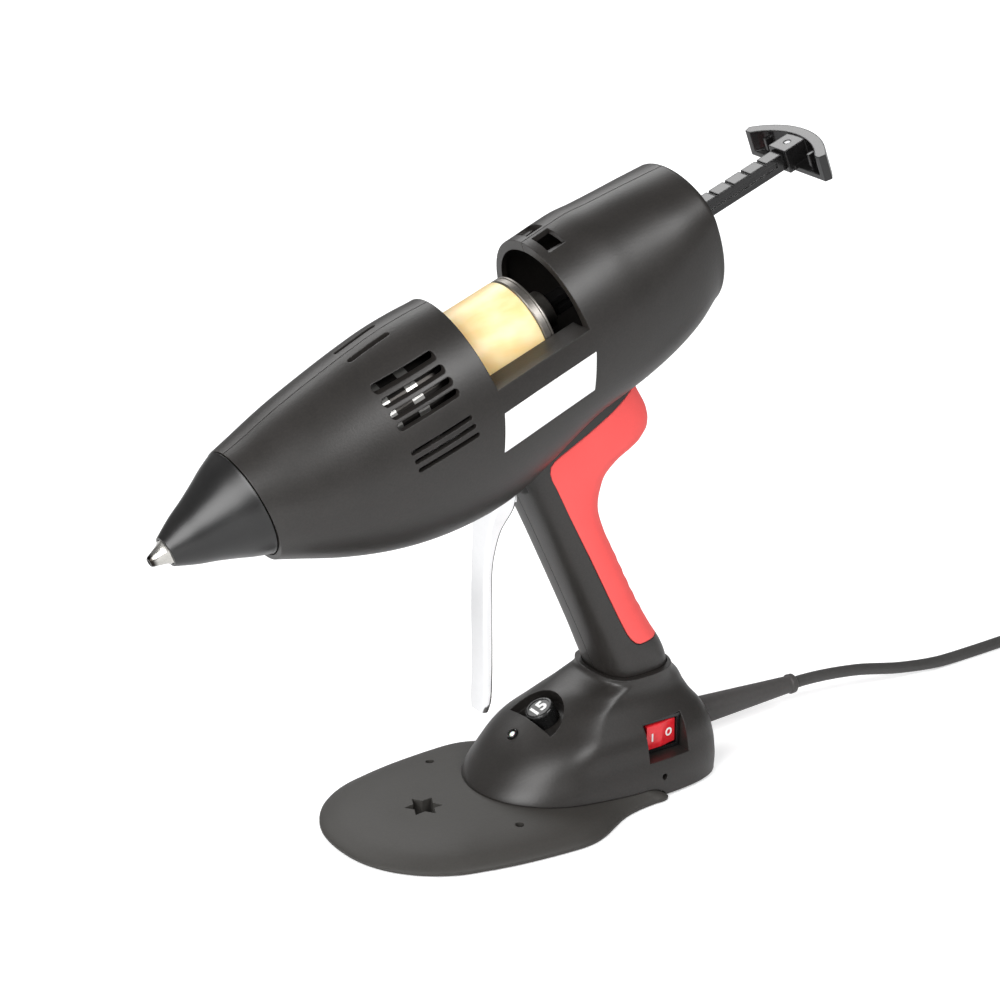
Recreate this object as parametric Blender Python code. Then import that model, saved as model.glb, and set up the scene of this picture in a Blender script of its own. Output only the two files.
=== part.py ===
"""A corded hot glue slug gun on a low stand.

The stand lies on the floor at z = 0, the nozzle points to -X and down, and the gun's left side faces -Y.
The gun has a frame of its own on the barrel's axis: its x runs rearwards, its z up from the axis. Places on
the barrel are given as a distance ahead of the piston's front face, a side and a height above the axis.
"""

import math

import bmesh
import bpy
from mathutils import Matrix, Vector

# Fits that the whole gun shares.
GAP = 0.0003
SLIDING_GAP = 0.0006
CUT_OVERRUN = 0.004
SMOOTH_ANGLE = math.radians(32)

# Glue slug, melt chamber and the body's radius that follows from them.
SLUG_RADIUS = 0.0215
SLUG_LENGTH = 0.044
SLUG_CLEARANCE = 0.0003
CHAMBER_WALL = 0.0028
AIR_SPACE = 0.0078
SHELL_WALL = 0.0026
BORE_RADIUS = SLUG_RADIUS + SLUG_CLEARANCE
CHAMBER_RADIUS = BORE_RADIUS + CHAMBER_WALL
BODY_RADIUS = CHAMBER_RADIUS + AIR_SPACE + SHELL_WALL

# Heater saddle under the chamber and its two cartridges.
SADDLE_BEHIND_SUPPORT = 0.024
SADDLE_REAR_ROOM = 0.0154
SADDLE_HALF_WIDTH = 0.0125
SADDLE_DROP = 0.0115
HEATER_RADIUS = 0.0035
HEATER_SIDE = 0.0060
HEATER_OVERHANG = 0.002
SUPPORT_BEHIND_NOSE = 0.0214
SUPPORT_THICKNESS = 0.003
RIBS_A_SIDE = 4
RIB_HEIGHT = 0.0024
RIB_THICKNESS = 0.0012
RIB_FIRST_TURN = math.radians(4)
RIB_STEP_TURN = math.radians(-9)

# Lengths along the barrel, from the piston's front face.
FRONT_REACH = 0.1394
REAR_REACH = 0.0900
BAY_AHEAD = 0.034
BAY_BEHIND = 0.0145
NOSE_LENGTH = 0.0373
NOSE_MOUTH_RADIUS = 0.0066
NOSE_ROOT_RADIUS = 0.02365
NOSE_WALL = 0.0024
NOSE_SPIGOT = 0.0075
NOZZLE_REACH = 0.008
NOZZLE_TIP_RADIUS = 0.002
NOZZLE_BORE_RADIUS = 0.0008
NOZZLE_HEX_RADIUS = 0.0052
NOZZLE_HEX_LENGTH = 0.006
NOZZLE_THREAD_RADIUS = 0.0032
NOZZLE_THREAD_LENGTH = 0.007

# Barrel's place over the stand.
TILT = math.radians(20.64)
BARREL_X = 0.0476
BARREL_HEIGHT = 0.21684

# Rear housing.
REAR_FACE_RADIUS = 0.05
REAR_FACE_HEIGHT = 0.003
REAR_RIM_WIDTH = 0.0065
REAR_WALL = 0.003

# Vents and slots in the shells.
VENT_AHEAD = 0.079
VENT_LENGTH = 0.030
WIDE_VENT = 0.0034
THIN_VENT = 0.0020
CREST_SLOT_AHEAD = 0.078
CREST_SLOT_LENGTH = 0.021
CREST_SLOT_WIDTH = 0.0025
CREST_SLOT_SIDE = 0.0055
HANGER_AHEAD = -0.0185
HANGER_LENGTH = 0.0085
HANGER_WIDTH = 0.0115
HANGER_WEB = 0.0035
HANGER_DEPTH = 0.0016

# Loading bay.
LEDGE_DROP = 0.006
RIM_RISE = 0.001
RIM_HALF_WIDTH = 0.0275
LEDGE_HALF_WIDTH = 0.0305

# Plunger.
PISTON_THICKNESS = 0.0045
PISTON_CLEARANCE = 0.0003
PISTON_HUB_RADIUS = 0.009
PISTON_HUB_LENGTH = 0.010
ROD_HALF_WIDTH = 0.0034
ROD_HALF_HEIGHT = 0.0038
ROD_SOCKET_DEPTH = 0.006
NOTCH_PITCH = 0.009
NOTCH_WIDTH = 0.0016
NOTCH_DEPTH = 0.0009
GROOVE_HEIGHT = 0.0022
GROOVE_DEPTH = 0.0007

# Pull handle.
PULL_AHEAD = -0.147
PULL_HALF_WIDTH = 0.0265
PULL_DEPTH = 0.0134
PULL_SHOULDER = 0.003
PULL_HALF_HEIGHT = 0.006
PULL_WALL = 0.0048
PULL_FLOOR = 0.0024
PULL_HUB_HALF_WIDTH = 0.0056
PULL_HUB_LEAD = 0.003
PULL_RIB = 0.0016
PULL_RIB_SIDE = 0.0150
PULL_PIN_RADIUS = 0.0013

# Feed carriage, pawl and rod guide.
CARRIAGE_AHEAD = -0.042
CARRIAGE_LENGTH = 0.012
CARRIAGE_HALF_WIDTH = 0.009
CARRIAGE_HEIGHT = 0.0105
CARRIAGE_BAR_HALF_WIDTH = 0.004
CARRIAGE_BAR_HEIGHT = 0.0045
FORK_HALF_LENGTH = 0.0065
FORK_HALF_HEIGHT = 0.0045
PAWL_HALF_WIDTH = 0.0020
PAWL_BOSS_RADIUS = 0.0022
PAWL_PIN_RADIUS = 0.0010
PAWL_PIN_BEHIND = 0.0030
PAWL_REACH = 0.0066
GUIDE_AHEAD = -0.060
GUIDE_THICKNESS = 0.004

# Trigger.
TRIGGER_AHEAD = 0.0304
TRIGGER_DROP = 0.0536
TRIGGER_HALF_WIDTH = 0.010
TRIGGER_LENGTH = 0.108
TRIGGER_REACH = 0.011
TRIGGER_SHEET = 0.0016
TRIGGER_FLANGE = 0.0095
TRIGGER_SWING = math.radians(17)
TRIGGER_BOSS_RADIUS = 0.0050
TRIGGER_ARM = 0.022
TRIGGER_TIP_RADIUS = 0.0034
TRIGGER_PIN_RADIUS = 0.0022
DRIVE_PIN_RADIUS = 0.0016
SPRING_RADIUS = 0.0040
SPRING_HALF_WIDTH = 0.0052
SLOT_REAR = 0.0085
SLOT_BELOW = 0.033
SLOT_ABOVE = 0.006

# Handle and its red grip.
HANDLE_FOOT_X = 0.0998
HANDLE_FOOT_Z = 0.052
HANDLE_TOP_SET = 0.0218
HANDLE_DEPTH = 0.042
HANDLE_HALF_WIDTH = 0.0175
HANDLE_SQUARENESS = 2.7
GRIP_THICKNESS = 0.0026

# Label.
LABEL_LENGTH = 0.0485
LABEL_HEIGHT = 0.0166
LABEL_THICKNESS = 0.0004
LABEL_AHEAD = 0.0355
LABEL_DROP = 0.0085

# Base housing.
HOUSING_FRONT = 0.026
HOUSING_REAR = 0.1405
HOUSING_HALF_WIDTH = 0.0363
HOUSING_BOTTOM = 0.0015
HOUSING_TOP = 0.052
HOUSING_WALL = 0.003

# Dial, lamp and switch.
DIAL_X = 0.0592
DIAL_Z = 0.0406
DIAL_TILT = math.radians(28)
DIAL_RADIUS = 0.0066
DIAL_POCKET_RADIUS = 0.016
DIAL_POCKET_BACK = 0.0102
DIAL_POCKET_LIP = 0.0070
DIAL_POCKET_DEPTH = 0.0080
DIAL_SHAFT_RADIUS = 0.003
POT_HALF_WIDTH = 0.0080
POT_HEIGHT = 0.006
LAMP_X = 0.0456
LAMP_Z = 0.0313
LAMP_TILT = math.radians(36)
LAMP_RADIUS = 0.0015
LAMP_LENGTH = 0.007
BEZEL_RADIUS = 0.0025
BEZEL_PROUD = 0.0008
SWITCH_X = 0.106
SWITCH_Z = 0.0255
SWITCH_HALF_LENGTH = 0.011
SWITCH_HALF_HEIGHT = 0.0082
SWITCH_RECESS = 0.006
SWITCH_BODY_DEPTH = 0.013
ROCKER_HALF_LENGTH = 0.0084
ROCKER_HALF_HEIGHT = 0.0058
ROCKER_PROUD = 0.0012
ROCKER_TILT = math.radians(8)

# Stand plate.
PLATE_LIFT = 0.0008
PLATE_HEIGHT = 0.0093
PLATE_FRONT = -0.043
PLATE_REAR = 0.102
PLATE_HALF_WIDTH = 0.0561
PLATE_CENTRE = 0.036
STAR_RADIUS = 0.0084
STAR_TURN = math.radians(-25.41)
BENCH_HOLE_X = 0.0256
BENCH_HOLE_SIDE = 0.0359
BENCH_HOLE_RADIUS = 0.0019
TONGUE_HOLE_RADIUS = 0.0014
COVER_THICKNESS = 0.0028
PAD_RADIUS = 0.006
PAD_HEIGHT = 0.0020
PAD_FRONT_X = -0.018
PAD_FRONT_SIDE = 0.026
PAD_REAR_X = 0.1165
PAD_REAR_SIDE = 0.021

# Control board.
BOARD_LENGTH = 0.036
BOARD_WIDTH = 0.044
BOARD_THICKNESS = 0.0016
BOARD_STAND_OFF = 0.004
BOARD_X = 0.083
POST_RADIUS = 0.0026

# Screws.
SCREW_RADIUS = 0.0016
SCREW_HEAD_RADIUS = 0.0031
SCREW_HEAD_HEIGHT = 0.0020
BOSS_RADIUS = 0.0040

# Strain relief and cord.
CORD_RADIUS = 0.00275
CORD_HEIGHT = 0.016
RELIEF_ROOT_RADIUS = 0.0070
RELIEF_END_RADIUS = 0.0037
RELIEF_LENGTH = 0.0600
RELIEF_FLANGE_RADIUS = 0.0090
RELIEF_FLANGE = 0.0025

# Coil of the cord's unseen length, its tie and the plug.
COIL_TURNS_A_LAYER = 4
COIL_INNER_RADIUS = 0.0225
COIL_TURN_GAP = 0.0007
COIL_LAYER_GAP = 0.0006
COIL_X = 0.380
COIL_Y = -0.0425
TIE_THICKNESS = 0.0009
TIE_WIDTH = 0.008
TIE_CLEARANCE = 0.0007
PLUG_X = 0.452
PLUG_LENGTH = 0.050
PLUG_WIDTH = 0.050
PLUG_HEIGHT = 0.022
PLUG_CORNER = 0.008
PIN_SOCKET = 0.004
PIN_LENGTH = 0.0177
PIN_WIDTH = 0.0063
PIN_THICKNESS = 0.0040
PIN_SIDE = 0.0111
EARTH_PIN_WIDTH = 0.0080
EARTH_PIN_AWAY = 0.0222
PIN_ROW_X = 0.0140

BODY_POINTS = 24
HANDLE_POINTS = 20
HOUSING_POINTS = 28
INSIDE_POINTS = 16
TURN_STEPS = 28
SMALL_STEPS = 12

# Each row of the body: place along the barrel as a share of its reach, then the half width, crest, keel and
# widest line as shares of the body's radius, how square the lower half is, and how far it follows the
# rear face's sweep.
BODY_SHARES = (
    (1.000, 0.691, 0.680, -0.771, -0.029, 2.0, 0.0),
    (0.947, 0.771, 0.711, -0.894, -0.094, 2.0, 0.0),
    (0.815, 0.897, 0.811, -1.217, -0.206, 2.0, 0.0),
    (0.617, 1.009, 0.914, -1.586, -0.323, 2.0, 0.0),
    (0.516, 1.043, 0.954, -1.709, -0.360, 2.0, 0.0),
    (0.423, 1.060, 0.977, -1.783, -0.391, 2.0, 0.0),
    (0.323, 1.063, 0.969, -1.823, -0.414, 2.0, 0.0),
    (0.244, 1.051, 0.946, -1.814, -0.423, 2.0, 0.0),
    (0.143, 1.034, 0.946, -1.729, -0.414, 2.0, 0.0),
    (-0.161, 1.000, 0.946, -1.420, -0.314, 2.3, 0.0),
    (-0.333, 0.986, 0.960, -1.400, -0.257, 2.3, 0.0),
    (-0.422, 0.970, 0.963, -1.390, -0.220, 2.3, 0.0),
    (-0.522, 0.943, 0.931, -1.370, -0.180, 2.3, 0.0),
    (-0.689, 0.900, 0.890, -1.300, -0.080, 2.3, 0.0),
    (-0.820, 0.865, 0.855, -1.220, 0.050, 2.2, 0.0),
    (-0.970, 0.790, 0.815, -1.100, 0.200, 2.0, 0.1),
)
INSIDE_SHARES = BODY_SHARES[::2] + BODY_SHARES[-1:]
REAR_FACE_SHARES = (0.93, 0.60, 0.20)

# Nose cone: share of its length, share of the drop from its root radius to its mouth radius.
NOSE_SHARES = (
    (0.0, 0.0), (0.19, 0.17), (0.38, 0.375), (0.57, 0.565), (0.77, 0.745), (0.90, 0.885), (1.0, 1.0)
)

# Melt chamber behind the nozzle: share of its length, share of its radius outside.
CHAMBER_SHARES = ((0.0, 1.0), (0.44, 1.0), (0.68, 0.69), (0.84, 0.44), (0.865, 0.27), (1.0, 0.27))

# Handle rows: share of its rise, then depth ahead of and behind its centre line as shares of its depth, and
# share of its half width.
HANDLE_SHARES = (
    (-0.036, 0.270, 0.500, 0.950),
    (0.030, 0.270, 0.560, 0.970),
    (0.061, 0.265, 0.560, 0.970),
    (0.109, 0.260, 0.525, 0.950),
    (0.176, 0.258, 0.490, 0.940),
    (0.356, 0.260, 0.457, 0.950),
    (0.425, 0.262, 0.450, 0.960),
    (0.495, 0.268, 0.502, 0.980),
    (0.544, 0.272, 0.630, 1.000),
    (0.579, 0.278, 0.767, 1.010),
    (0.612, 0.283, 0.998, 1.020),
    (0.645, 0.288, 1.310, 1.030),
    (0.668, 0.292, 1.435, 1.030),
    (0.695, 0.300, 1.510, 1.030),
    (0.793, 0.500, 1.520, 1.040),
    (0.837, 0.400, 1.530, 1.040),
    (0.878, 0.300, 1.500, 1.040),
)

# Red grip's edge seen from the side: offset from the handle's centre line as a share of its depth, and
# share of the handle's rise.
GRIP_EDGE_SHARES = (
    (2.40, 0.838),
    (1.50, 0.810),
    (0.11, 0.664),
    (0.03, 0.648),
    (-0.01, 0.625),
    (-0.01, 0.600),
    (0.005, 0.505),
    (0.034, 0.369),
    (0.069, 0.167),
    (0.084, 0.111),
    (0.115, 0.093),
    (0.180, 0.086),
    (0.330, 0.086),
    (2.40, 0.094),
)

# Trigger blade from its pivot: share of its length, share of its reach forward, share of its flange, share of
# its half width.
BLADE_SHARES = (
    (0.060, 0.60, 1.00, 1.00),
    (0.130, 0.70, 0.95, 1.00),
    (0.230, 0.80, 0.55, 0.74),
    (0.324, 0.88, 0.36, 0.66),
    (0.574, 0.95, 0.32, 0.64),
    (0.741, 0.93, 0.30, 0.64),
    (0.870, 0.93, 0.28, 0.64),
    (0.965, 0.98, 0.26, 0.62),
    (1.000, 1.02, 0.24, 0.52),
)

# Base housing rows: share of its height, share of its length cut off in front and behind, share of its half
# width, place of its widest line, and how square it is in front and behind.
HOUSING_SHARES = (
    (0.000, 0.000, 0.006, 1.000, 0.314, 2.0, 4.6),
    (0.168, 0.000, 0.000, 0.990, 0.314, 2.0, 4.6),
    (0.327, 0.050, 0.000, 0.937, 0.335, 2.0, 4.4),
    (0.590, 0.171, 0.031, 0.820, 0.395, 1.9, 3.6),
    (0.683, 0.228, 0.062, 0.715, 0.430, 1.8, 3.3),
    (0.774, 0.285, 0.083, 0.620, 0.470, 1.7, 3.0),
    (0.871, 0.375, 0.105, 0.560, 0.550, 1.7, 2.9),
    (0.960, 0.505, 0.139, 0.550, 0.625, 2.1, 2.8),
    (1.000, 0.520, 0.148, 0.555, 0.630, 2.5, 2.8),
)

# Stand plate's half outline from its nose to its rear end: share of its length, share of its half width.
PLATE_OUTLINE_SHARES = (
    (0.000, 0.000),
    (0.003, 0.135),
    (0.014, 0.285),
    (0.040, 0.450),
    (0.080, 0.600),
    (0.140, 0.742),
    (0.210, 0.845),
    (0.297, 0.908),
    (0.390, 0.955),
    (0.470, 0.980),
    (0.560, 0.997),
    (0.610, 1.000),
    (0.653, 0.986),
    (0.703, 0.938),
    (0.756, 0.861),
    (0.815, 0.778),
    (0.886, 0.726),
    (0.948, 0.708),
    (0.990, 0.700),
    (1.000, 0.680),
)
PLATE_CROWN_SHARES = ((1.0, 0.0), (1.0, 0.15), (0.955, 0.38), (0.86, 0.68), (0.70, 0.89), (0.46, 1.0))

# Screws through the barrel: share of its reach ahead of or behind the piston's face, and height as a share of
# the body's radius.
BARREL_SCREW_SHARES = ((0.778, -0.99), (-0.770, -0.76))

# Screws through the handle: share of its rise, and place behind its centre line as a share of its depth.
HANDLE_SCREW_SHARES = ((0.657, 0.743), (0.273, -0.100))

# Vents: height share of the body's radius where each starts, and whether it is a wide one.
VENT_SHARES = (
    (0.69, True), (0.545, True), (0.405, True), (0.27, True), (-0.05, False), (-0.165, False), (-0.28, False)
)


def signed_power(value, exponent):
    return math.copysign(abs(value) ** exponent, value)


def lerp_rows(rows, at):
    """Row of a table at one value of its first column, which runs up or down."""
    ordered = sorted(rows)
    if at <= ordered[0][0]:
        return ordered[0]
    for low, high in zip(ordered, ordered[1:]):
        if at <= high[0]:
            share = (at - low[0]) / (high[0] - low[0])
            return tuple(a + (b - a) * share for a, b in zip(low, high))
    return ordered[-1]


def finish(name, colour, roughness, metallic=0.0):
    made = bpy.data.materials.new(name)
    made.use_nodes = True
    shader = made.node_tree.nodes["Principled BSDF"]
    shader.inputs["Base Color"].default_value = (*colour, 1.0)
    shader.inputs["Roughness"].default_value = roughness
    shader.inputs["Metallic"].default_value = metallic
    made.diffuse_color = (*colour, 1.0)
    return made


def empty(name, parent, location, rotation=(0.0, 0.0, 0.0)):
    made = bpy.data.objects.new(name, None)
    made.parent = parent
    made.location = location
    made.rotation_euler = rotation
    bpy.context.scene.collection.objects.link(made)
    return made


def add(name, bm, material, parent, origin=(0.0, 0.0, 0.0)):
    """Object made from a bmesh given in its parent's frame, with its own origin where it is asked for."""
    bmesh.ops.recalc_face_normals(bm, faces=bm.faces)
    mesh = bpy.data.meshes.new(name)
    bm.to_mesh(mesh)
    bm.free()
    mesh.transform(Matrix.Translation(-Vector(origin)))
    mesh.shade_smooth()
    mesh.set_sharp_from_angle(angle=SMOOTH_ANGLE)
    if material:
        mesh.materials.append(material)
    made = bpy.data.objects.new(name, mesh)
    made.parent = parent
    made.location = origin
    bpy.context.scene.collection.objects.link(made)
    return made


def loft(name, rings, material, parent, origin=(0.0, 0.0, 0.0), closed=False, split=True):
    """Skin over rings of points; closed joins the last ring to the first, and otherwise both ends are capped.

    Split quads are all cut along the same diagonal, so that skins at different insets stay parallel.
    """
    bm = bmesh.new()
    rows = [[bm.verts.new(point) for point in ring] for ring in rings]
    pairs = list(zip(rows, rows[1:]))
    if closed:
        pairs.append((rows[-1], rows[0]))
    for first, second in pairs:
        count = len(first)
        for i in range(count):
            j = (i + 1) % count
            if split:
                bm.faces.new((first[i], first[j], second[j]))
                bm.faces.new((first[i], second[j], second[i]))
            else:
                bm.faces.new((first[i], first[j], second[j], second[i]))
    if not closed:
        bm.faces.new(rows[0][::-1])
        bm.faces.new(rows[-1])
    return add(name, bm, material, parent, origin)


def turned(
    name, profile, material, parent, centre=(0.0, 0.0, 0.0), axis="X",
    steps=TURN_STEPS, hollow=False, origin=None,
):
    """Body turned from (along, radius) points about an axis through a centre."""
    rings = []
    for along, radius in profile:
        ring = []
        for k in range(steps):
            angle = math.tau * k / steps
            a = radius * math.cos(angle)
            b = radius * math.sin(angle)
            local = {"X": (along, a, b), "Y": (a, along, b), "Z": (a, b, along)}[axis]
            ring.append(Vector(centre) + Vector(local))
        rings.append(ring)
    return loft(name, rings, material, parent, origin or centre, closed=hollow, split=False)


def prism(name, outline, low, high, material, parent, axis="Y", origin=(0.0, 0.0, 0.0)):
    """Outline extruded along one axis; the outline's two values are the other two coordinates in order."""
    order = {
        "X": lambda a, b, c: (c, a, b),
        "Y": lambda a, b, c: (a, c, b),
        "Z": lambda a, b, c: (a, b, c),
    }[axis]
    rings = [[order(a, b, level) for a, b in outline] for level in (low, high)]
    return loft(name, rings, material, parent, origin, split=False)


def box(name, low, high, material, parent, origin=(0.0, 0.0, 0.0)):
    outline = ((low[0], low[1]), (high[0], low[1]), (high[0], high[1]), (low[0], high[1]))
    return prism(name, outline, low[2], high[2], material, parent, "Z", origin)


def rounded(outline, radius, steps=4):
    """Outline with each corner turned into an arc, as wide as its sides allow."""
    made = []
    count = len(outline)
    for i in range(count):
        here = Vector(outline[i])
        before = Vector(outline[i - 1]) - here
        after = Vector(outline[(i + 1) % count]) - here
        turn = before.angle(after)
        reach = min(radius / math.tan(turn / 2), before.length * 0.48, after.length * 0.48)
        arc = reach * math.tan(turn / 2)
        middle = here + (before.normalized() + after.normalized()).normalized() * (arc / math.sin(turn / 2))
        start = here + before.normalized() * reach - middle
        end = here + after.normalized() * reach - middle
        first = math.atan2(start.y, start.x)
        sweep = math.remainder(math.atan2(end.y, end.x) - first, math.tau)
        for k in range(steps + 1):
            angle = first + sweep * k / steps
            made.append((middle.x + arc * math.cos(angle), middle.y + arc * math.sin(angle)))
    return made


def combine(target, operation, *tools, solver="EXACT"):
    for tool in tools:
        modifier = target.modifiers.new(tool.name, "BOOLEAN")
        modifier.operation = operation
        modifier.object = tool
        modifier.solver = solver
        tool.hide_render = True
        tool.display_type = "WIRE"
    return target


def cut(target, *tools, solver="EXACT"):
    return combine(target, "DIFFERENCE", *tools, solver=solver)


def join(target, *tools, solver="EXACT"):
    return combine(target, "UNION", *tools, solver=solver)


def settled(source, name, material):
    """New object that holds the source's evaluated mesh in the same place."""
    bpy.context.view_layer.update()
    graph = bpy.context.evaluated_depsgraph_get()
    mesh = bpy.data.meshes.new_from_object(source.evaluated_get(graph))
    mesh.materials.clear()
    mesh.materials.append(material)
    made = bpy.data.objects.new(name, mesh)
    made.parent = source.parent
    made.location = source.location
    made.rotation_euler = source.rotation_euler
    bpy.context.scene.collection.objects.link(made)
    source.hide_render = True
    source.display_type = "WIRE"
    return made


def along_barrel(ahead, side, height):
    """Point in the gun's frame."""
    return Vector((-ahead, side, height))


def gun_to_stand(ahead, side, height):
    """The same point in the stand's frame."""
    x = BARREL_X - ahead * math.cos(TILT) - height * math.sin(TILT)
    z = BARREL_HEIGHT - ahead * math.sin(TILT) + height * math.cos(TILT)
    return Vector((x, side, z))


def stand_to_gun(x, z):
    """(ahead, height) in the gun's frame of a point of the stand's frame."""
    dx = x - BARREL_X
    dz = z - BARREL_HEIGHT
    return (-dx * math.cos(TILT) - dz * math.sin(TILT), -dx * math.sin(TILT) + dz * math.cos(TILT))


for old in list(bpy.data.objects):
    bpy.data.objects.remove(old)

charcoal = finish("charcoal moulding", (0.030, 0.029, 0.027), 0.62)
nose_black = finish("black nose moulding", (0.014, 0.014, 0.014), 0.34)
gloss_black = finish("glossy black moulding", (0.012, 0.012, 0.013), 0.22)
plate_grey = finish("stand plate moulding", (0.065, 0.062, 0.056), 0.70)
red_rubber = finish("red grip rubber", (0.90, 0.100, 0.085), 0.55)
rocker_red = finish("red rocker", (0.62, 0.012, 0.016), 0.30)
cord_rubber = finish("dark cord sheath", (0.045, 0.044, 0.043), 0.60)
pad_rubber = finish("foot pad rubber", (0.020, 0.020, 0.020), 0.85)
amber_glue = finish("amber glue", (0.96, 0.78, 0.46), 0.42)
chromed = finish("chrome plate", (0.80, 0.80, 0.81), 0.08, 1.0)
bare_steel = finish("bare steel", (0.52, 0.52, 0.53), 0.35, 1.0)
piston_alloy = finish("piston alloy", (0.30, 0.29, 0.28), 0.45, 1.0)
cast_alloy = finish("cast aluminium", (0.72, 0.72, 0.72), 0.40, 1.0)
brass_metal = finish("brass pins", (0.72, 0.55, 0.26), 0.30, 1.0)
white_label = finish("white label stock", (0.90, 0.90, 0.90), 0.40)
board_green = finish("board laminate", (0.020, 0.170, 0.060), 0.45)
lamp_clear = finish("lamp lens", (0.86, 0.87, 0.82), 0.15)
tie_black = finish("tie nylon", (0.015, 0.015, 0.015), 0.50)
ceramic_white = finish("white ceramic", (0.82, 0.81, 0.78), 0.60)

support_ahead = FRONT_REACH - SUPPORT_BEHIND_NOSE
saddle_ahead = support_ahead - SADDLE_BEHIND_SUPPORT
saddle_length = saddle_ahead - BAY_AHEAD - SHELL_WALL - SADDLE_REAR_ROOM
heater_length = saddle_length + HEATER_OVERHANG * 2
nose_front = FRONT_REACH + GAP + NOSE_LENGTH
nozzle_front = nose_front + NOZZLE_REACH
pull_back = PULL_AHEAD - PULL_DEPTH
front_x = gun_to_stand(nozzle_front, 0.0, NOZZLE_TIP_RADIUS).x
back_x = gun_to_stand(pull_back, 0.0, -PULL_HALF_HEIGHT).x
stand = empty("stand_frame", None, (-(front_x + back_x) / 2, 0.0, 0.0))
gun = empty("gun_frame", stand, (BARREL_X, 0.0, BARREL_HEIGHT), (0.0, -TILT, 0.0))


# Body shells.


def body_row(ahead, rows=BODY_SHARES):
    reach = FRONT_REACH if ahead > 0.0 else REAR_REACH
    return lerp_rows(rows, ahead / reach)


def section(row, inset, scale=1.0, ahead=None, points=BODY_POINTS):
    """Ring of the body at one row: a rounded crest over a deeper keel, swept where the rear face bends."""
    share, half_width, crest, keel, widest, square, sweep = row
    reach = FRONT_REACH if share > 0.0 else REAR_REACH
    place = share * reach if ahead is None else ahead
    wide = (half_width * BODY_RADIUS - inset) * scale
    middle = widest * BODY_RADIUS * scale
    top = (crest * BODY_RADIUS - inset) * scale - middle
    bottom = middle - (keel * BODY_RADIUS + inset) * scale
    ring = []
    for k in range(points):
        angle = math.tau * k / points
        c = math.cos(angle)
        s = math.sin(angle)
        power = 1.0 if s >= 0.0 else 2 / square
        height = middle + (top if s >= 0.0 else bottom) * signed_power(s, power)
        bend = sweep * (height - REAR_FACE_HEIGHT) ** 2 / (2 * REAR_FACE_RADIUS)
        ring.append(along_barrel(place + bend, wide * signed_power(c, power), height))
    return ring


def body_rings(inset, front_extra=0.0, rear_inset=0.0, rows=BODY_SHARES, points=BODY_POINTS):
    rings = [section(row, inset, points=points) for row in rows]
    rings[0] = section(BODY_SHARES[0], inset, ahead=FRONT_REACH + front_extra, points=points)
    last = BODY_SHARES[-1]
    rear_room = REAR_REACH - rear_inset
    rings[-1] = section(last, inset, ahead=last[0] * rear_room, points=points)
    for scale in REAR_FACE_SHARES:
        rings.append(section(last, inset, scale, ahead=-rear_room, points=points))
    return rings


def half_width_at(ahead, height, inset=0.0, rows=BODY_SHARES):
    """Distance from the middle plane to the body's side at one height."""
    share, half_width, crest, keel, widest, square, sweep = body_row(ahead, rows)
    wide = half_width * BODY_RADIUS - inset
    middle = widest * BODY_RADIUS
    if height >= middle:
        power = 2.0
        reach = crest * BODY_RADIUS - inset - middle
    else:
        power = square
        reach = middle - keel * BODY_RADIUS - inset
    share = min(abs(height - middle) / reach, 1.0)
    return wide * (1.0 - share**power) ** (1.0 / power)


def handle_centre(height):
    """Handle's centre line in the stand's frame: it leans back towards its foot."""
    share = (height - HANDLE_FOOT_Z) / (BARREL_HEIGHT - HANDLE_FOOT_Z)
    return HANDLE_FOOT_X + (BARREL_X - HANDLE_TOP_SET - HANDLE_FOOT_X) * share


def handle_level(share):
    return HANDLE_FOOT_Z + (BARREL_HEIGHT - HANDLE_FOOT_Z) * share


def handle_rings(inset, foot_extra=0.0, points=HANDLE_POINTS):
    rings = []
    for share, ahead, behind, half_width in HANDLE_SHARES:
        level = handle_level(share) - (foot_extra if not rings else 0.0)
        centre = handle_centre(level)
        ring = []
        for k in range(points):
            angle = math.tau * k / points
            c = signed_power(math.cos(angle), 2 / HANDLE_SQUARENESS)
            s = signed_power(math.sin(angle), 2 / HANDLE_SQUARENESS)
            depth = (behind if c > 0.0 else ahead) * HANDLE_DEPTH - inset
            ring.append((centre + depth * c, (half_width * HANDLE_HALF_WIDTH - inset) * s, level))
        rings.append(ring)
    return rings


body_outer = loft("body_outer", body_rings(0.0), None, gun)
handle_outer = loft("handle_outer", handle_rings(0.0), None, stand)
handle_core = loft("handle_core", handle_rings(GRIP_THICKNESS + GAP), None, stand)
grip_outline = [
    (handle_centre(handle_level(high)) + aside * HANDLE_DEPTH, handle_level(high))
    for aside, high in GRIP_EDGE_SHARES
]
grip_zone = prism("grip_zone", grip_outline, -HANDLE_DEPTH, HANDLE_DEPTH, None, stand)
handle_front = settled(cut(handle_outer, grip_zone), "handle_front", charcoal)

inside_rings = body_rings(SHELL_WALL, CUT_OVERRUN, REAR_WALL, INSIDE_SHARES, INSIDE_POINTS)
body_hollow = loft("body_hollow", inside_rings, None, gun)
handle_inset = GRIP_THICKNESS + SHELL_WALL + GAP
handle_hollow = loft("handle_hollow", handle_rings(handle_inset, CUT_OVERRUN, SMALL_STEPS), None, stand)


def bay_outline(spread):
    low = -LEDGE_DROP - spread
    rim = RIM_RISE - spread
    high = BODY_RADIUS + CUT_OVERRUN
    wide = BODY_RADIUS * 2
    return (
        (-wide, low),
        (-LEDGE_HALF_WIDTH - spread / 2, low),
        (-RIM_HALF_WIDTH - spread / 2, rim),
        (RIM_HALF_WIDTH + spread / 2, rim),
        (LEDGE_HALF_WIDTH + spread / 2, low),
        (wide, low),
        (wide, high),
        (-wide, high),
    )


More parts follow.
